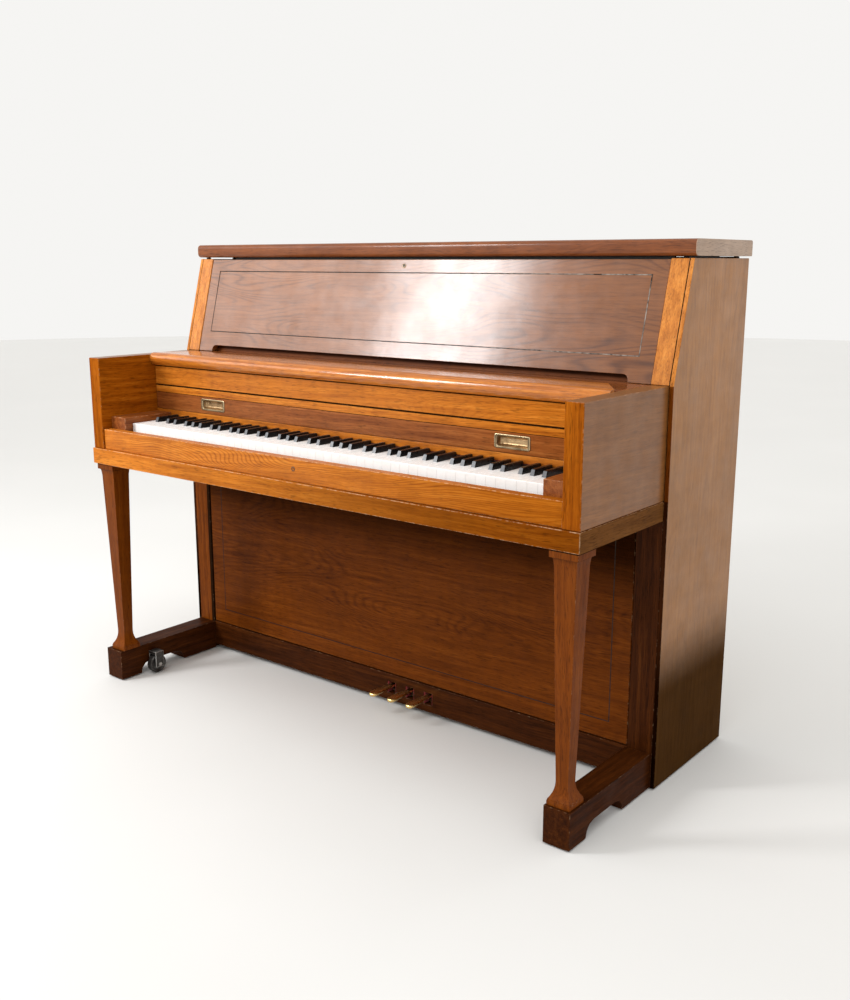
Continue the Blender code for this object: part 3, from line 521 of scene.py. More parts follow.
# ---- finishes of the case ----
def finish_case():
    seed = 0

    def walnut(node, grain, tone, width=0.0012, wear_and_highlight=0.0, edge_wear_and_highlight=0.75, **options):
        nonlocal seed
        seed += 1
        face = wood("wood_" + node, grain, tone, seed, wear_and_highlight=wear_and_highlight, **options)
        edge = wood("edge_" + node, grain, tone, seed, wear_and_highlight=edge_wear_and_highlight, **options) if edge_wear_and_highlight else None
        dress(node, face, edge, width)

    low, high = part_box("upper_stile_right")
    knee_y, knee_z, stile_out = low.y, low.z, high.x
    slope = front_slope()
    arm, arm_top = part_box("arm_right")[0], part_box("arm_right")[1].z
    bed_top, lower_in = arm.z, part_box("lower_stile_right")[0].x
    rim_out, lid_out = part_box("keybed_rim")[1].x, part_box("lid")[1].x
    lip_top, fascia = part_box("fallboard")[1].z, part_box("fascia_board")
    strip_low = lip_top - 0.018

    def case_edge(bottom, top):
        """The front edge of a case side between two heights; it leans back above the keyboard."""
        def mask(t):
            _, y, z = t.split(t.place)
            lean = t.times(t.math("MAXIMUM", t.math("SUBTRACT", z, knee_z), 0.0), slope)
            front = t.math("LESS_THAN", t.math("SUBTRACT", y, lean), knee_y + 0.0012)
            inside = t.times(t.math("GREATER_THAN", z, bottom), t.math("LESS_THAN", z, top))
            return t.times(front, inside)
        return mask

    def beyond(limit, compare="GREATER_THAN"):
        """Where the distance from the middle plane is over a limit."""
        return lambda t: t.math(compare, t.math("ABSOLUTE", t.split(t.place)[0]), limit)

    def within(limit):
        return beyond(limit, "LESS_THAN")

    def between(bottom, top):
        """Where the height is between two limits."""
        def mask(t):
            z = t.split(t.place)[2]
            return t.times(t.math("GREATER_THAN", z, bottom), t.math("LESS_THAN", z, top))
        return mask

    def arm_edge(t):
        """The front end of an arm."""
        return t.math("LESS_THAN", t.split(t.place)[1], arm.y + 0.0012)

    def toward(limit, full):
        """A gradual change along the width; on the rim and key slip it blends in painted shade toward the
        treble end.
        """
        return lambda t: t.remap(t.split(t.place)[0], limit, full, smooth=True)

    low_parts = {"gloss": 0.03, "shine": 0.03, "rough": 0.50}
    broad = {"rate": 420.0, "thin": 4.0}
    for side in ("left", "right"):
        # The front lip of each side takes the stile tone above the arms; the darker leg tone beside the arms
        # and the dark tone below the keybed are painted shade.
        edges = [("stile", "Z", case_edge(arm_top, 2.0), 0.4),
                 ("leg", "Z", case_edge(bed_top, arm_top), 0.05), ("dark", "Z", case_edge(0.0, bed_top), 0.05)]
        # Painted shade and light: each side is painted darker and duller toward the floor, and a little darker
        # below the keyboard than high up.
        walnut("case_side_" + side, "Z", "side", 0.0009, edge_wear_and_highlight=0.30, haze=0.30, gloss=0.75,
               fades=[("Z", 0.36, 0.20, 0.20, 0.02), ("Z", 0.95, 0.55, 0.84, 0.85)], figure=0.25, pores=0.2,
               inserts=edges, calm=0.55)
        # The dark line along each upper stile's outer edge is a painted shadow in the gap at the case side.
        walnut("upper_stile_" + side, "Z", "stile", 0.0010, edge_wear_and_highlight=0.5, figure=0.05, slant=0.0, gloss=0.35,
               pores=0.35, seams=[beyond(stile_out - 0.0016)])
        # Painted light and shade: the left lower stile takes the lighter leg tone with a painted shadow band
        # along its inner edge, the right one the darker dark tone.
        walnut("lower_stile_" + side, "Z", "leg" if side == "left" else "dark", 0.0010, edge_wear_and_highlight=0.25,
               figure=0.2, seams=[within(lower_in + 0.0090)] if side == "left" else [], **low_parts)
        walnut("arm_" + side, "Y", "arm", 0.0014, edge_wear_and_highlight=0.45, gloss=0.65, haze=0.28, figure=0.15,
               pores=0.2, calm=0.7,
               inserts=[("edge", "Y", within(arm.x + 0.0012), 0.06), ("edge", "Z", arm_edge, 0.06)])
        walnut("key_block_" + side, "Y", "band", 0.0014, edge_wear_and_highlight=0.7, gloss=0.2)
        leg_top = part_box("front_leg_" + side)[1].z
        # The two dark lines near the top of each leg are painted shadow lines under the rim and the capital.
        walnut("front_leg_" + side, "Z", "leg", 0.0012, edge_wear_and_highlight=0.35, figure=0.1, gloss=0.07, shine=0.05,
               rough=0.42, calm=0.7,
               seams=[between(leg_top - 0.0156, leg_top - 0.0138), between(leg_top - 0.002, 2.0)])
        walnut("toe_block_" + side, "Y", "dark", 0.0016, edge_wear_and_highlight=0.45, figure=0.2, **low_parts)
    # Painted shade: the rim is painted darker toward the treble end, blending into the darker edge tone.
    walnut("keybed_rim", "X", "front", 0.0014, edge_wear_and_highlight=0.9, figure=0.3, ripple=0.04, gloss=0.10, shine=0.06,
           calm=0.7, fades=[("X", -0.72, 0.50, 0.62, 0.3)],
           inserts=[("edge", "X", toward(-0.10, 0.62), 0.5),
                    ("arm", "Y", beyond(rim_out - 0.0012), 1.0)], **broad)
    # Painted shade: the key slip is painted a little darker and duller toward the treble end, blending into
    # the darker edge tone.
    walnut("key_slip", "X", "front", 0.0014, edge_wear_and_highlight=0.9, figure=0.70, slant=0.06, ripple=0.04, gloss=0.20,
           shine=0.08, pores=0.25, rate=430.0, thin=3.0, lay=4.2, spread=0.30, calm=0.7,
           fades=[("X", 0.0, 0.66, 0.96, 0.05)], inserts=[("edge", "X", toward(0.0, 1.15), 0.5)])
    walnut("nameboard", "X", "front", 0.0006, edge_wear_and_highlight=0.3, figure=0.2, gloss=0.2)
    # Painted light and shade: the fascia is painted slightly lighter and without gloss toward the treble end;
    # its dark lines at the bottom and top are painted shadow in the gap above the fallboard and under the
    # ledge nosing.
    walnut("fascia_board", "X", "front", 0.0008, edge_wear_and_highlight=0.2, figure=0.25, gloss=0.25, calm=0.75,
           fades=[("X", 0.0, 0.66, 1.05, 0.0)],
           seams=[between(0.0, fascia[0].z + 0.0018), between(fascia[1].z - 0.0024, 2.0)], **broad)
    walnut("shelf", "X", "band", 0.0006, edge_wear_and_highlight=0.3, gloss=1.0, haze=0.10, calm=0.6)
    walnut("music_ledge", "X", "front", 0.0010, edge_wear_and_highlight=0.8, gloss=1.0, haze=0.12, figure=0.25)
    # Painted shade: the upper panel is painted darker and duller toward the treble end.
    walnut("upper_panel", "X", "panel", 0.0010, edge_wear_and_highlight=0.3, gloss=1.0, haze=0.165, figure=0.70, rough=0.40,
           fades=[("X", 0.05, 0.60, 0.86, 0.72)], shine=0.28, pores=0.18, rate=300.0, thin=3.5, calm=0.5)
    # Painted light and shade: the fallboard is painted slightly lighter and without gloss toward the treble
    # end; the dark lines under its strip and along its top are painted shadow under the strip and the fascia.
    walnut("fallboard", "X", "band", 0.0010, edge_wear_and_highlight=0.2, figure=0.35, gloss=0.25, ripple=0.05,
           fades=[("X", 0.0, 0.66, 1.04, 0.0)], inserts=[("front", "X", between(strip_low, 1.0), 1.0)],
           seams=[between(strip_low - 0.0010, strip_low + 0.0004), between(lip_top - 0.0016, 1.0)], **broad)
    # The lid's end faces are painted in the pale grey tone, lighter than its front: a painted reflection.
    walnut("lid", "X", "lid", 0.0014, edge_wear_and_highlight=0.6, gloss=0.5, haze=0.14, figure=0.2, calm=0.6,
           inserts=[("pale", "Y", beyond(lid_out - 0.0012), 1.0)])
    # Painted shade: the knee panel is painted much darker toward its top, under the keybed.
    walnut("knee_panel", "X", "knee", 0.0012, edge_wear_and_highlight=0.45, figure=0.4, calm=0.6, rate=300.0,
           fades=[("Z", 0.36, 0.52, 0.16, 0.1)], **low_parts)
    walnut("toe_rail", "X", "dark", 0.0012, edge_wear_and_highlight=0.3, **low_parts)
    for node, grain in (("keybed", "X"), ("bottom_board", "X"), ("action_frame", "X")):
        walnut(node, grain, "raw", 0.0012, edge_wear_and_highlight=0.0, gloss=0.0, rough=0.72, pores=0.25)
    walnut("back_frame", "Z", "raw", 0.0022, edge_wear_and_highlight=0.0, gloss=0.0, rough=0.70, pores=0.25, figure=0.5)
    walnut("soundboard", "X", "spruce", 0.0014, edge_wear_and_highlight=0.0, gloss=0.25, haze=0.3, rough=0.5,
           pores=0.12, figure=0.0, slant=0.42)
    dress("iron_plate", BRONZE, None, 0.0030, 3)
    for corner in CORNERS:
        dress("caster_bracket_" + corner, IRON, STEEL, 0.0012)


finish_case()


# ---- keyboard ----
KEY_LO, KEY_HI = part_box("key_c4")
SHARP_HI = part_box("key_c_sharp4")[1].z
KEY_FRONT, KEY_BACK, KEY_LOW, WHITE_TOP = KEY_LO.y, KEY_HI.y, KEY_LO.z, KEY_HI.z
FACE_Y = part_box("fascia_board")[0].y
SHOULDER = KEY_FRONT + 0.050
COVER = 0.0024


def key_layout():
    """Every key from A0 to C8: name, sharp, tail left, tail right, head left, head right."""
    letters = ["c", "c_sharp", "d", "d_sharp", "e", "f", "f_sharp", "g", "g_sharp", "a", "a_sharp", "b"]
    keys = []
    first_c = KEYS_LEFT + 2 * PITCH
    for number in range(KEY_COUNT):
        semitone, octave = (number + 9) % 12, (number + 9) // 12
        left = first_c + (octave - 1) * 7 * PITCH
        if semitone < 5:
            slot, start, index = 3 * PITCH / 5, left, semitone
        else:
            slot, start, index = 4 * PITCH / 7, left + 3 * PITCH, semitone - 5
        white = sum(not letters[s].endswith("sharp") for s in range(semitone))
        head = left + white * PITCH
        tail = [start + index * slot, start + (index + 1) * slot]
        if number == 0:
            tail[0] = head
        if number == KEY_COUNT - 1:
            tail = [head, head + PITCH]
        keys.append((letters[semitone] + str(octave), letters[semitone].endswith("sharp"), *tail, head,
                     head + PITCH))
    return keys


def natural(bm, key, back):
    """A wooden stick under a moulded cover with a lip at its front."""
    ease = 0.00028
    a, b, c, d = key[2] + ease, key[3] - ease, key[4] + ease, key[5] - ease
    under = WHITE_TOP - COVER

    def plan(front, rear, inset):
        points = [(a + inset, rear), (a + inset, SHOULDER + inset), (c + inset, SHOULDER + inset),
                  (c + inset, front), (d - inset, front), (d - inset, SHOULDER + inset),
                  (b - inset, SHOULDER + inset), (b - inset, rear)]
        kept = [points[0]]
        for p in points[1:]:
            if (Vector(p) - Vector(kept[-1])).length > 1e-5:
                kept.append(p)
        return kept

    slab(bm, plan(KEY_FRONT + 0.0030, back, 0.0003), KEY_LOW, under, 1)
    block(bm, (c, KEY_FRONT + 0.0001, KEY_LOW + 0.0008), (d, KEY_FRONT + 0.0030, under), 0)
    top = plan(KEY_FRONT, FACE_Y + 0.030, 0.0)
    soft = 0.0006
    inner = []
    for x, y in top:
        side = soft if x < (a + b) / 2 or abs(x - c) < 1e-6 else -soft
        front = soft if y < SHOULDER + 0.001 else -soft
        inner.append((x + side, y + front))
    loft(bm, [[(x, y, under) for x, y in top], [(x, y, WHITE_TOP - soft) for x, y in top],
              [(x, y, WHITE_TOP) for x, y in inner]], 0)


def sharp(bm, key, back):
    """A wooden stick under a black top with a sloping front."""
    ease = 0.0008
    a, b = key[2] + ease, key[3] - ease
    block(bm, (a, SHOULDER + 0.002, KEY_LOW), (b, back, WHITE_TOP - 0.0012), 1)
    middle = (a + b) / 2
    low, high = WHITE_TOP - 0.0014, SHARP_HI
    y0, y1 = SHOULDER + 0.0016, FACE_Y - 0.0036
    wide, narrow, corner = 0.0055, 0.0046, 0.0017
    section = [(-wide, low)]
    for i in range(5):
        angle = math.radians(180 - 22.5 * i)
        section.append((corner - narrow + corner * math.cos(angle), high - corner + corner * math.sin(angle)))
    section += [(-x, z) for x, z in reversed(section)]

    def ring(y, shrink, slope, drop=0.0):
        points = []
        for x, z in section:
            t = (z - low) / (high - low)
            points.append((middle + x * shrink, y + slope * t, low + (z - low) * (1 - drop)))
        return points

    faces = loft(bm, [ring(y0, 0.86, 0.0052, 0.07), ring(y0 + 0.0010, 1.0, 0.0056, 0.02),
                      ring(y0 + 0.0032, 1.0, 0.0050), ring(y1, 1.0, 0.0)], 2)
    # The sloping front takes the lighter ebony: a painted reflection.
    faces[-2].material_index = 3


def keyboard():
    """The keys in the frame's groups: the bass, twelve of the middle octave one by one, and the treble."""
    layout = key_layout()
    stick = wood("key_stick", "Y", "raw", 71, gloss=0.0, rough=0.65, figure=0.2, pores=0.15)
    first = next(i for i, k in enumerate(layout) if k[0] == "c4")
    groups = [("bass_keys", layout[:first])] + [("key_" + k[0], [k]) for k in layout[first:first + 12]]
    groups.append(("treble_keys", layout[first + 12:]))
    for node, keys in groups:
        bm = bmesh.new()
        back = KEY_BACK if len(keys) == 1 else KEY_BACK - 0.013
        for key in keys:
            (sharp if key[1] else natural)(bm, key, back)
        if len(keys) > 1:
            lo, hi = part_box(node)
            block(bm, (lo.x, KEY_BACK - 0.014, KEY_LOW), (hi.x, KEY_BACK, WHITE_TOP - 0.003), 1)
        obj = piece("detail_" + node, bm, [IVORY, stick, EBONY, EBONY_PAINTED_REFLECTION], node)
        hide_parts(node)


def key_felts():
    """Red strip under the nameboard and green cushions on the key rails."""
    lo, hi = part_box("nameboard")
    bm = bmesh.new()
    left, right = KEYS_LEFT + 0.002, -KEYS_LEFT - 0.002
    block(bm, (left, lo.y + 0.002, WHITE_TOP + 0.0036), (right, hi.y, lo.z), 0, 0.0006)
    piece("nameboard_felt", bm, FELT_RED, "case")
    bm = bmesh.new()
    for y, z, wide in ((KEY_FRONT + 0.010, 0.6442, 0.018), (0.053, 0.6502, 0.024)):
        block(bm, (KEYS_LEFT + 0.004, y, z), (-KEYS_LEFT - 0.004, y + wide, z + 0.003), 0, 0.001)
    piece("key_rail_felts", bm, FELT_GREEN, "case")


# ---- hardware on the front ----
def pull(side):
    """Sunk finger pull; rings of (inset in x, inset in z, corner, y) go over its border and into its cup."""
    node = "pull_" + side
    lo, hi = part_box(node)
    x, z = (lo.x + hi.x) / 2, (lo.z + hi.z) / 2
    half_x, half_z = (hi.x - lo.x) / 2, (hi.z - lo.z) / 2
    face, back = lo.y, lo.y + 0.0016
    floor_y = hi.y
    rings = [
        (0.0066, 0.0046, 0.0030, floor_y),
        (0.0066, 0.0046, 0.0030, back),
        (0.0, 0.0, 0.0050, back),
        (0.0, 0.0, 0.0050, face + 0.0010),
        (0.0004, 0.0004, 0.0048, face + 0.0004),
        (0.0014, 0.0012, 0.0044, face),
        (0.0038, 0.0030, 0.0036, face + 0.0001),
        (0.0052, 0.0040, 0.0032, face + 0.0006),
        (0.0064, 0.0050, 0.0030, face + 0.0022),
        (0.0072, 0.0056, 0.0028, face + 0.0050),
        (0.0086, 0.0066, 0.0026, floor_y - 0.0032),
        (0.0110, 0.0082, 0.0020, floor_y - 0.0020),
        (0.0250, 0.0105, 0.0012, floor_y - 0.0015),
    ]
    bm = bmesh.new()
    outlines = [(rounded_rectangle(half_x - w, half_z - h, r), y) for w, h, r, y in rings]
    faces = loft(bm, [[(x + a, y, z + b) for a, b in outline] for outline, y in outlines])
    around = len(outlines[0][0])
    for number, face_ in enumerate(faces):
        band = number // around
        face_.material_index = 1 if band in (3, 4, 7) else 2 if band > 7 else 0
    obj = piece("finger_pull_" + side, bm, [BRASS_DULL, BRASS_WORN, BRASS_CUP], "fallboard")
    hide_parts(node)


def lock(name, x, y, z, lean, rim=BRASS):
    """Round keyhole rim with a dark keyway, let into a wooden face that leans back by some angle."""
    turn = Matrix.Translation((x, y, z)) @ Matrix.Rotation(lean, 4, "X")
    bm = bmesh.new()
    lathe(bm, (0, 0, 0), "Y", [(0.0010, 0.0050), (-0.0003, 0.0050), (-0.0008, 0.0046), (-0.0009, 0.0040),
                               (-0.0005, 0.0034), (0.0010, 0.0033)], 28, 0)
    lathe(bm, (0, 0, 0), "Y", [(0.0010, 0.0034), (0.0002, 0.0034)], 28, 1)
    lathe(bm, (0, 0, 0.0009), "Y", [(0.0004, 0.0013), (0.0000, 0.0013)], 16, 2)
    block(bm, (-0.0006, 0.0000, -0.0024), (0.0006, 0.0004, 0.0009), 2)
    bm.transform(turn)
    piece(name, bm, [rim, IRON, DARK_VOID], "case")


def inlay(name, corners, normal, wide=0.0022):
    """Thin line let into a panel, mitred at the corners and standing slightly proud with a rounded top."""
    normal = Vector(normal).normalized()
    points = [Vector(p) for p in corners]
    centre = sum(points, Vector()) / len(points)
    across = (points[1] - points[0]).normalized()
    upward = (points[3] - points[0]).normalized()
    bm = bmesh.new()
    profile = [(-0.5, -0.0002), (-0.5, 0.00002), (-0.22, 0.00016)]
    profile += [(-a, h) for a, h in reversed(profile)]
    loops = []
    for p in points:
        sx = 1 if (p - centre).dot(across) > 0 else -1
        sz = 1 if (p - centre).dot(upward) > 0 else -1
        outward = across * sx + upward * sz
        loops.append([bm.verts.new(p + outward * (a * wide) + normal * h) for a, h in profile])
    count = len(profile)
    for i in range(4):
        one, two = loops[i], loops[(i + 1) % 4]
        for k in range(count):
            m = (k + 1) % count
            bm.faces.new((one[k], one[m], two[m], two[k]))
    piece(name, bm, INLAY, "case")


def inlays():
    """Lines and locks of the upper panel and the knee panel."""
    corner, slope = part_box("upper_panel")[0], front_slope()

    def face(z):
        return corner.y + (z - corner.z) * slope

    half, bottom, top = 0.634, 0.893, 1.049
    corners = [(-half, face(bottom), bottom), (half, face(bottom), bottom), (half, face(top), top),
               (-half, face(top), top)]
    inlay("inlay_upper", corners, (0, -1, slope))
    lock_z = 1.065
    lock("lock_upper", 0.0, face(lock_z), lock_z, -math.atan(slope))
    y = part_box("knee_panel")[0].y
    half, bottom, top = 0.606, 0.122, 0.530
    corners = [(-half, y, bottom), (half, y, bottom), (half, y, top), (-half, y, top)]
    inlay("inlay_knee", corners, (0, -1, 0))
    lock("lock_key_slip", 0.0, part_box("key_slip")[0].y, 0.642, 0.0, IRON)


def slot_backing():
    """Board close behind the slot under the music panel."""
    rest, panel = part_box("shelf")[1].z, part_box("upper_panel")[0]
    bm = bmesh.new()
    block(bm, (-0.630, panel.y + 0.0225, rest - 0.0001), (0.630, panel.y + 0.0285, rest + 0.034), 0, 0.0006)
    # Painted shade: the board is painted dark above a narrow light strip next to the shelf, for the shadow
    # under the music panel.
    board = wood("slot_backing", "X", "lid", 95, gloss=0.3, figure=0.2, calm=0.6,
                 fades=[("Z", rest + 0.003, rest + 0.010, 0.25, 0.2)])
    piece("slot_backing", bm, board, "case")


def lid_buttons():
    """Rubber buttons, an end block and a long dark strip in the gap under the lid."""
    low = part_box("case_side_right")[1].z
    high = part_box("lid")[0].z
    bm = bmesh.new()
    for x, y in ((-0.704, 0.075), (-0.690, 0.155), (-0.704, 0.290), (0.704, 0.290), (0.690, 0.085)):
        lathe(bm, (x, y, low - 0.0005), "Z", [(0, 0.0060), (0.0035, 0.0060), (high - low, 0.0052),
                                              (high - low + 0.0004, 0.0040)], 14)
    block(bm, (0.699, 0.072, low - 0.0004), (0.711, 0.190, high - 0.0002), 0, 0.0006)
    block(bm, (-0.600, 0.078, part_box("upper_panel")[1].z - 0.0006), (0.668, 0.084, high - 0.0002), 0, 0.0004)
    piece("lid_buttons", bm, RUBBER, "case")


def hinge():
    """Piano hinge: one barrel with a groove between its knuckles, and its leaf."""
    lo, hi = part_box("lid_hinge")
    barrel = 0.0027
    y, z = hi.y - barrel, hi.z - barrel
    length = 2 * 0.688
    count = 54
    step = length / count
    profile = []
    for i in range(count):
        x = -length / 2 + i * step
        profile += [(x, barrel * 0.82), (x + 0.0004, barrel), (x + step - 0.0008, barrel),
                    (x + step - 0.0004, barrel * 0.82)]
    bm = bmesh.new()
    lathe(bm, (0, y, z), "X", profile, 12, 0)
    block(bm, (-length / 2, y - 0.0021, lo.z), (length / 2, y - 0.0010, z), 0, 0.0002)
    obj = piece("piano_hinge", bm, [BRASS, STEEL], "case")
    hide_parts("lid_hinge")


def pedal(word):
    """Lever skinned over stations of (y, half width, drop of the top, rise of the underside)."""
    node = "pedal_" + word
    lo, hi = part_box(node)
    x = (lo.x + hi.x) / 2
    top, low = hi.z - 0.0004, lo.z
    stations = [
        (lo.y + 0.0002, 0.0030, 0.0052, 0.0018),
        (lo.y + 0.0010, 0.0062, 0.0030, 0.0010),
        (lo.y + 0.0034, 0.0092, 0.0012, 0.0006),
        (lo.y + 0.0080, 0.0115, 0.0002, 0.0012),
        (lo.y + 0.0160, 0.0124, 0.0, 0.0030),
        (lo.y + 0.0300, 0.0122, 0.0002, 0.0038),
        (lo.y + 0.0450, 0.0108, 0.0008, 0.0036),
        (lo.y + 0.0600, 0.0090, 0.0010, 0.0030),
        (lo.y + 0.0750, 0.0081, 0.0010, 0.0025),
        (-0.001, 0.0080, 0.0010, 0.0020),
        (hi.y - 0.002, 0.0080, 0.0010, 0.0015),
        (hi.y - 0.0002, 0.0076, 0.0014, 0.0019),
    ]
    bm = bmesh.new()
    rings = []
    for y, half, drop, rise in stations:
        middle, high = (top - drop + low + rise) / 2, (top - drop - low - rise) / 2
        ring = []
        for i in range(16):
            a = math.tau * i / 16
            c, s = math.cos(a), math.sin(a)
            ring.append((x + half * math.copysign(abs(c) ** 0.55, c), y,
                         middle + high * math.copysign(abs(s) ** 0.60, s)))
        rings.append(ring)
    loft(bm, rings)
    obj = piece("brass_" + node, bm, [BRASS_BRIGHT, BRASS_WORN], node)
    sub = obj.modifiers.new("Smooth", "SUBSURF")
    sub.levels = sub.render_levels = 1
    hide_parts(node)


def pedal_trim():
    """Felt bushings beside the pedal levers and one pin through all three."""
    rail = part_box("toe_rail")
    bm = bmesh.new()
    for word in PEDALS:
        lo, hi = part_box("pedal_" + word)
        x = (lo.x + hi.x) / 2
        for side in (-1, 1):
            xs = sorted((x + side * 0.0129, x + side * 0.0112))
            block(bm, (xs[0], rail[0].y + 0.0015, 0.0312), (xs[1], rail[1].y, 0.0600), 0, 0.0004)
    piece("pedal_slot_felts", bm, FELT_RED, "case")
    bm = bmesh.new()
    left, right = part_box("pedal_left")[0].x - 0.012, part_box("pedal_right")[1].x + 0.012
    tube(bm, [(left, 0.1, 0.0520), (right, 0.1, 0.0520)], 0.0022, 10)
    piece("pedal_pin", bm, STEEL, "case")


def caster(corner):
    """Wheel with dished sides on its axle, and a nut on each side of the bracket."""
    node = "caster_wheel_" + corner
    lo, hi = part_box(node)
    centre = (lo + hi) / 2
    r = centre.z - 0.00002
    bm = bmesh.new()
    lathe(bm, centre, "X", [
        (-0.0090, 0.0045), (-0.0090, 0.0075), (-0.0072, 0.0090), (-0.0062, r - 0.0085), (-0.0085, r - 0.0062),
        (-0.0088, r - 0.0022), (-0.0076, r - 0.0006), (-0.0050, r), (0.0050, r), (0.0076, r - 0.0006),
        (0.0088, r - 0.0022), (0.0085, r - 0.0062), (0.0062, r - 0.0085), (0.0072, 0.0090), (0.0090, 0.0075),
        (0.0090, 0.0045)], 48, 0)
    lathe(bm, centre, "X", [(-0.0150, 0.0018), (-0.0147, 0.0028), (0.0147, 0.0028), (0.0150, 0.0018)], 16, 1)
    obj = piece("wheel_" + corner, bm, [IRON, STEEL], node)
    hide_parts(node)
    bm = bmesh.new()
    for side in (-1, 1):
        x = centre.x + side * 0.0152
        lathe(bm, (x, centre.y, centre.z), "X", [(-side * 0.001, 0.0056), (side * 0.0010, 0.0056),
                                                 (side * 0.0016, 0.0046)], 6, 0)
    piece("axle_nuts_" + corner, bm, STEEL, "case")


# ---- inside ----
BASS_COUNT, DAMPED_COUNT = 28, 68


def key_middle(number):
    """Middle of a key's even share of the keyboard, counted from the bass end."""
    return KEYS_LEFT + (number + 0.5) * -2 * KEYS_LEFT / KEY_COUNT


def hammers():
    """A felt head with its wooden core on a shank for every key, on one rail."""
    lo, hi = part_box("hammer_set")
    y, pivot = 0.105, 0.862
    maple = wood("hammer_maple", "Z", "raw", 83, gloss=0.0, rough=0.6, figure=0.1, pores=0.15)
    bm = bmesh.new()
    block(bm, (lo.x, y - 0.0068, pivot - 0.0068), (hi.x, y + 0.0068, pivot + 0.0068), 1, 0.0012)
    for i in range(KEY_COUNT):
        x = key_middle(i)
        tube(bm, [(x, y, pivot), (x, y, pivot + 0.112)], 0.0026, 8, 1)
        felt_line = []
        for k in range(14):
            a = math.tau * k / 14
            reach = 0.0175 * math.cos(a)
            rise = 0.0105 * math.sin(a) * (1.0 - 0.28 * max(0.0, math.cos(a)))
            felt_line.append((y + 0.0070 + reach, pivot + 0.1190 + rise))
        thick = 0.0040
        rings = [[(x + s, a, b) for a, b in felt_line] for s in (-thick, thick)]
        inner = [[(x + s, y + 0.0070 + (a - y - 0.0070) * 0.94, pivot + 0.119 + (b - pivot - 0.119) * 0.92)
                  for a, b in felt_line] for s in (-thick - 0.0002, thick + 0.0002)]
        loft(bm, [inner[0], rings[0], rings[1], inner[1]], 0)
        wedge = [(y - 0.0095, pivot + 0.1115), (y + 0.0120, pivot + 0.1165), (y + 0.0145, pivot + 0.119),
                 (y + 0.0120, pivot + 0.1215), (y - 0.0095, pivot + 0.1265)]
        loft(bm, [[(x + s, a, b) for a, b in wedge] for s in (-0.00425, 0.00425)], 1)
    obj = piece("hammers", bm, [FELT_WHITE, maple], "hammer_set")
    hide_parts("hammer_set")


def strings():
    """Two strings and two tuning pins for every key, the pressure bar, plate bolts and the treble bridge."""
    lo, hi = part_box("iron_plate")
    face = lo.y
    wires, copper, pins = bmesh.new(), bmesh.new(), bmesh.new()
    for i in range(KEY_COUNT):
        x = key_middle(i)
        for k in (-1, 1):
            spread = x + k * 0.0026
            pin_z = 1.0 + 0.012 * (i % 3) + (0.0 if k < 0 else 0.006)
            lathe(pins, (spread, face, pin_z), "Y", [(0.001, 0.0034), (-0.0135, 0.0034), (-0.0160, 0.0028),
                                                     (-0.0162, 0.0018)], 8)
            if i < BASS_COUNT:
                t = i / (BASS_COUNT - 1)
                foot = (spread * 0.55 + 0.36 + 0.10 * t, face - 0.0085, 0.165 + 0.06 * t)
                tube(copper, [(spread, face - 0.010, pin_z - 0.003), (spread, face - 0.010, 0.955), foot],
                     0.0013 - 0.0005 * t, 4)
            else:
                t = (i - BASS_COUNT) / (KEY_COUNT - 1 - BASS_COUNT)
                foot = (spread - 0.05 * (1 - t), face - 0.0035, 0.19 + 0.62 * t ** 0.8)
                tube(wires, [(spread, face - 0.0045, pin_z - 0.003), (spread, face - 0.0045, 0.955), foot],
                     0.0005, 3)
    piece("treble_strings", wires, STEEL_WIRE, "case")
    piece("bass_strings", copper, COPPER_WIRE, "case")
    piece("tuning_pins", pins, STEEL, "case")
    bm = bmesh.new()
    block(bm, (-0.640, face - 0.0028, 0.958), (0.640, face - 0.0002, 0.968), 0, 0.0012)
    for x in (-0.655, -0.398, -0.128, 0.142, 0.412, 0.655):
        for z in (0.135, 1.035):
            lathe(bm, (x, face, z), "Y", [(0.0, 0.0085), (-0.0035, 0.0085), (-0.0045, 0.0075)], 6, 1)
            lathe(bm, (x, face, z), "Y", [(0.0, 0.012), (-0.0012, 0.012)], 20, 1)
    piece("pressure_bar_and_bolts", bm, [BRASS, STEEL], "case")
    bm = bmesh.new()
    path = [(-0.30 + 0.95 * t, 0.25 + 0.58 * t ** 1.35) for t in [k / 16 for k in range(17)]]
    front, back = hi.y + 0.0005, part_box("soundboard")[0].y
    rings = []
    for x, z in path:
        rings.append([(x - 0.008, front, z + 0.012), (x + 0.008, front, z - 0.012),
                      (x + 0.010, back, z - 0.015), (x - 0.010, back, z + 0.015)])
    loft(bm, rings)
    bridge = wood("bridge_maple", "X", "raw", 91, gloss=0.0, rough=0.5, figure=0.1, pores=0.2)
    piece("treble_bridge", bm, bridge, "case", 0.0008)


def dampers():
    """Felt dampers on their wires, close in front of the strings."""
    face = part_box("iron_plate")[0].y
    bm = bmesh.new()
    for i in range(DAMPED_COUNT):
        x = key_middle(i)
        deep = face - (0.0125 if i < BASS_COUNT else 0.0065)
        block(bm, (x - 0.0046, deep - 0.0075, 0.934), (x + 0.0046, deep, 0.958), 0, 0.0012)
        block(bm, (x - 0.0040, deep - 0.0125, 0.937), (x + 0.0040, deep - 0.0075, 0.955), 1, 0.0008)
        tube(bm, [(x, deep - 0.010, 0.937), (x, deep - 0.012, 0.880), (x, 0.150, 0.845)], 0.0008, 5, 2)
    block(bm, (KEYS_LEFT, 0.1435, 0.838), (-KEYS_LEFT, 0.1545, 0.850), 1, 0.001)
    maple = wood("damper_maple", "X", "raw", 97, gloss=0.0, rough=0.6, figure=0.1, pores=0.15)
    piece("dampers", bm, [FELT_WHITE, maple, STEEL_WIRE], "case")


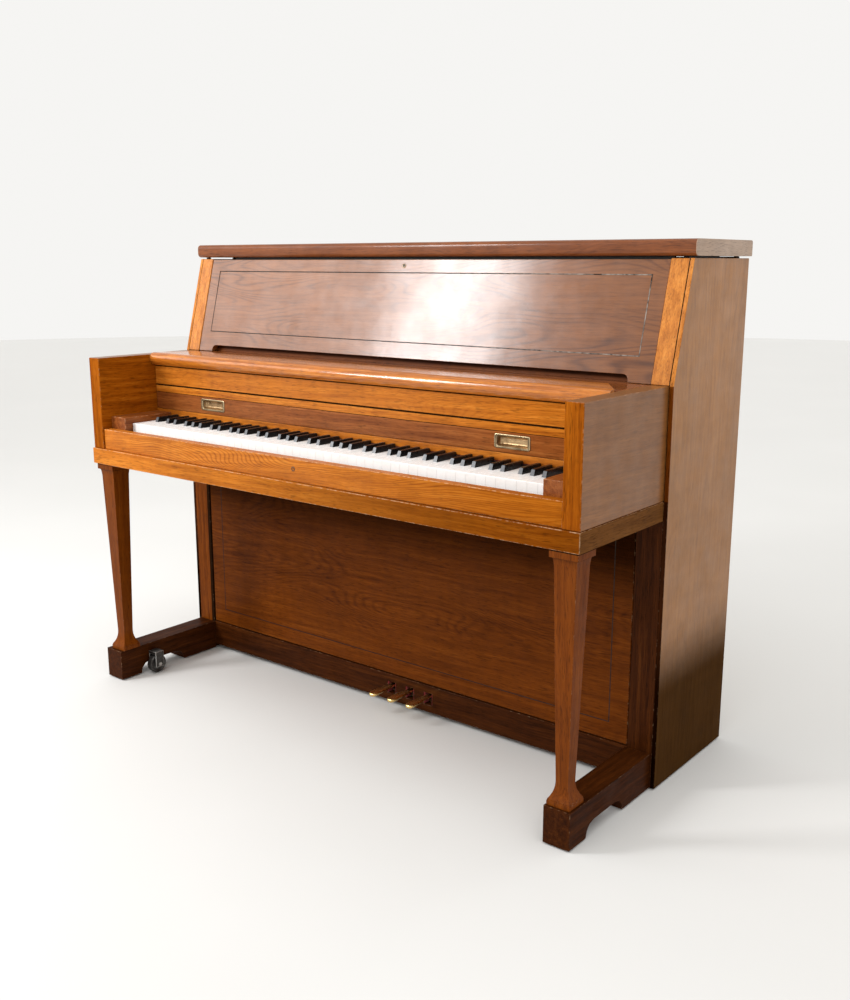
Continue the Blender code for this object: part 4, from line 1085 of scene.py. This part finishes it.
# ---- back ----
def back_hardware():
    """Bolt heads on the posts and along the pin block."""
    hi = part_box("back_frame")[1]
    bm = bmesh.new()
    ends = hi.x - 0.0275
    for x in (-ends, -0.330, 0.0, 0.330, ends):
        for z in (1.050, 1.000, 0.148, 0.102):
            head = [(-0.001, 0.0085), (0.0008, 0.0085), (0.0022, 0.0066), (0.0026, 0.0040)]
            lathe(bm, (x, hi.y, z), "Y", head, 18)
    for x in (-0.52, -0.40, -0.24, -0.12, 0.12, 0.24, 0.40, 0.52):
        head = [(-0.001, 0.0060), (0.0006, 0.0060), (0.0016, 0.0045), (0.0018, 0.0030)]
        lathe(bm, (x, hi.y, 1.024), "Y", head, 14)
    piece("back_bolts", bm, STEEL, "case")


keyboard()
key_felts()
for word in ("left", "right"):
    pull(word)
inlays()
slot_backing()
lid_buttons()
hinge()
for word in PEDALS:
    pedal(word)
pedal_trim()
for corner in CORNERS:
    caster(corner)
hammers()
strings()
dampers()
back_hardware()


# ---- stage ----
def floor():
    bm = bmesh.new()
    lathe(bm, (0, 0, 0), "Z", [(-0.02, 14.0), (-0.0005, 14.0)], 64)
    obj = mesh_object("floor", bm)
    t = Tree("floor_pale")
    cloud = t.noise(t.place, scale=1.5, detail=3)
    t.set(Base_Color=t.mix(cloud, (0.68, 0.675, 0.66), (0.72, 0.715, 0.70)))
    t.set(Roughness=t.remap(cloud, 0.3, 0.7, 0.6, 0.75))
    t.set(Specular_IOR_Level=0.2)
    obj.data.materials.append(t.material)


def lamp(name, kind, toward, power, color, place=(0, 0, 0), **settings):
    """A light that shines from a place along a direction."""
    data = bpy.data.lights.new(name, kind)
    data.energy = power
    data.color = color
    for key, value in settings.items():
        setattr(data, key, value)
    obj = placed(name, data)
    obj.location = place
    obj.rotation_euler = Vector(toward).to_track_quat("-Z", "Y").to_euler()


def panel_light(name, place, target, size, power, color):
    """A rectangle of light at a place, turned toward a target."""
    lamp(name, "AREA", Vector(target) - Vector(place), power, color, place,
         shape="RECTANGLE", size=size[0], size_y=size[1])


def studio():
    """Even pale surroundings."""
    world = bpy.data.worlds.new("studio")
    bpy.context.scene.world = world
    world.use_nodes = True
    backdrop = world.node_tree.nodes["Background"].inputs
    backdrop["Color"].default_value = (1.0, 0.992, 0.972, 1.0)
    backdrop["Strength"].default_value = 0.92


floor()
panel_light("window", (-1.71, -2.18, 2.05), (0.1, 0.0, 0.95), (0.54, 1.30), 54, (0.99, 0.99, 1.0))
panel_light("wall_glow", (-2.75, -1.75, 2.0), (-0.2, 0.0, 0.95), (1.1, 1.4), 11, (1.0, 0.99, 0.98))
lamp("ceiling", "SUN", (-0.10, 0.45, -1.0), 0.95, (1.0, 0.99, 0.975), angle=math.radians(60))
studio()

bpy.context.view_layer.update()
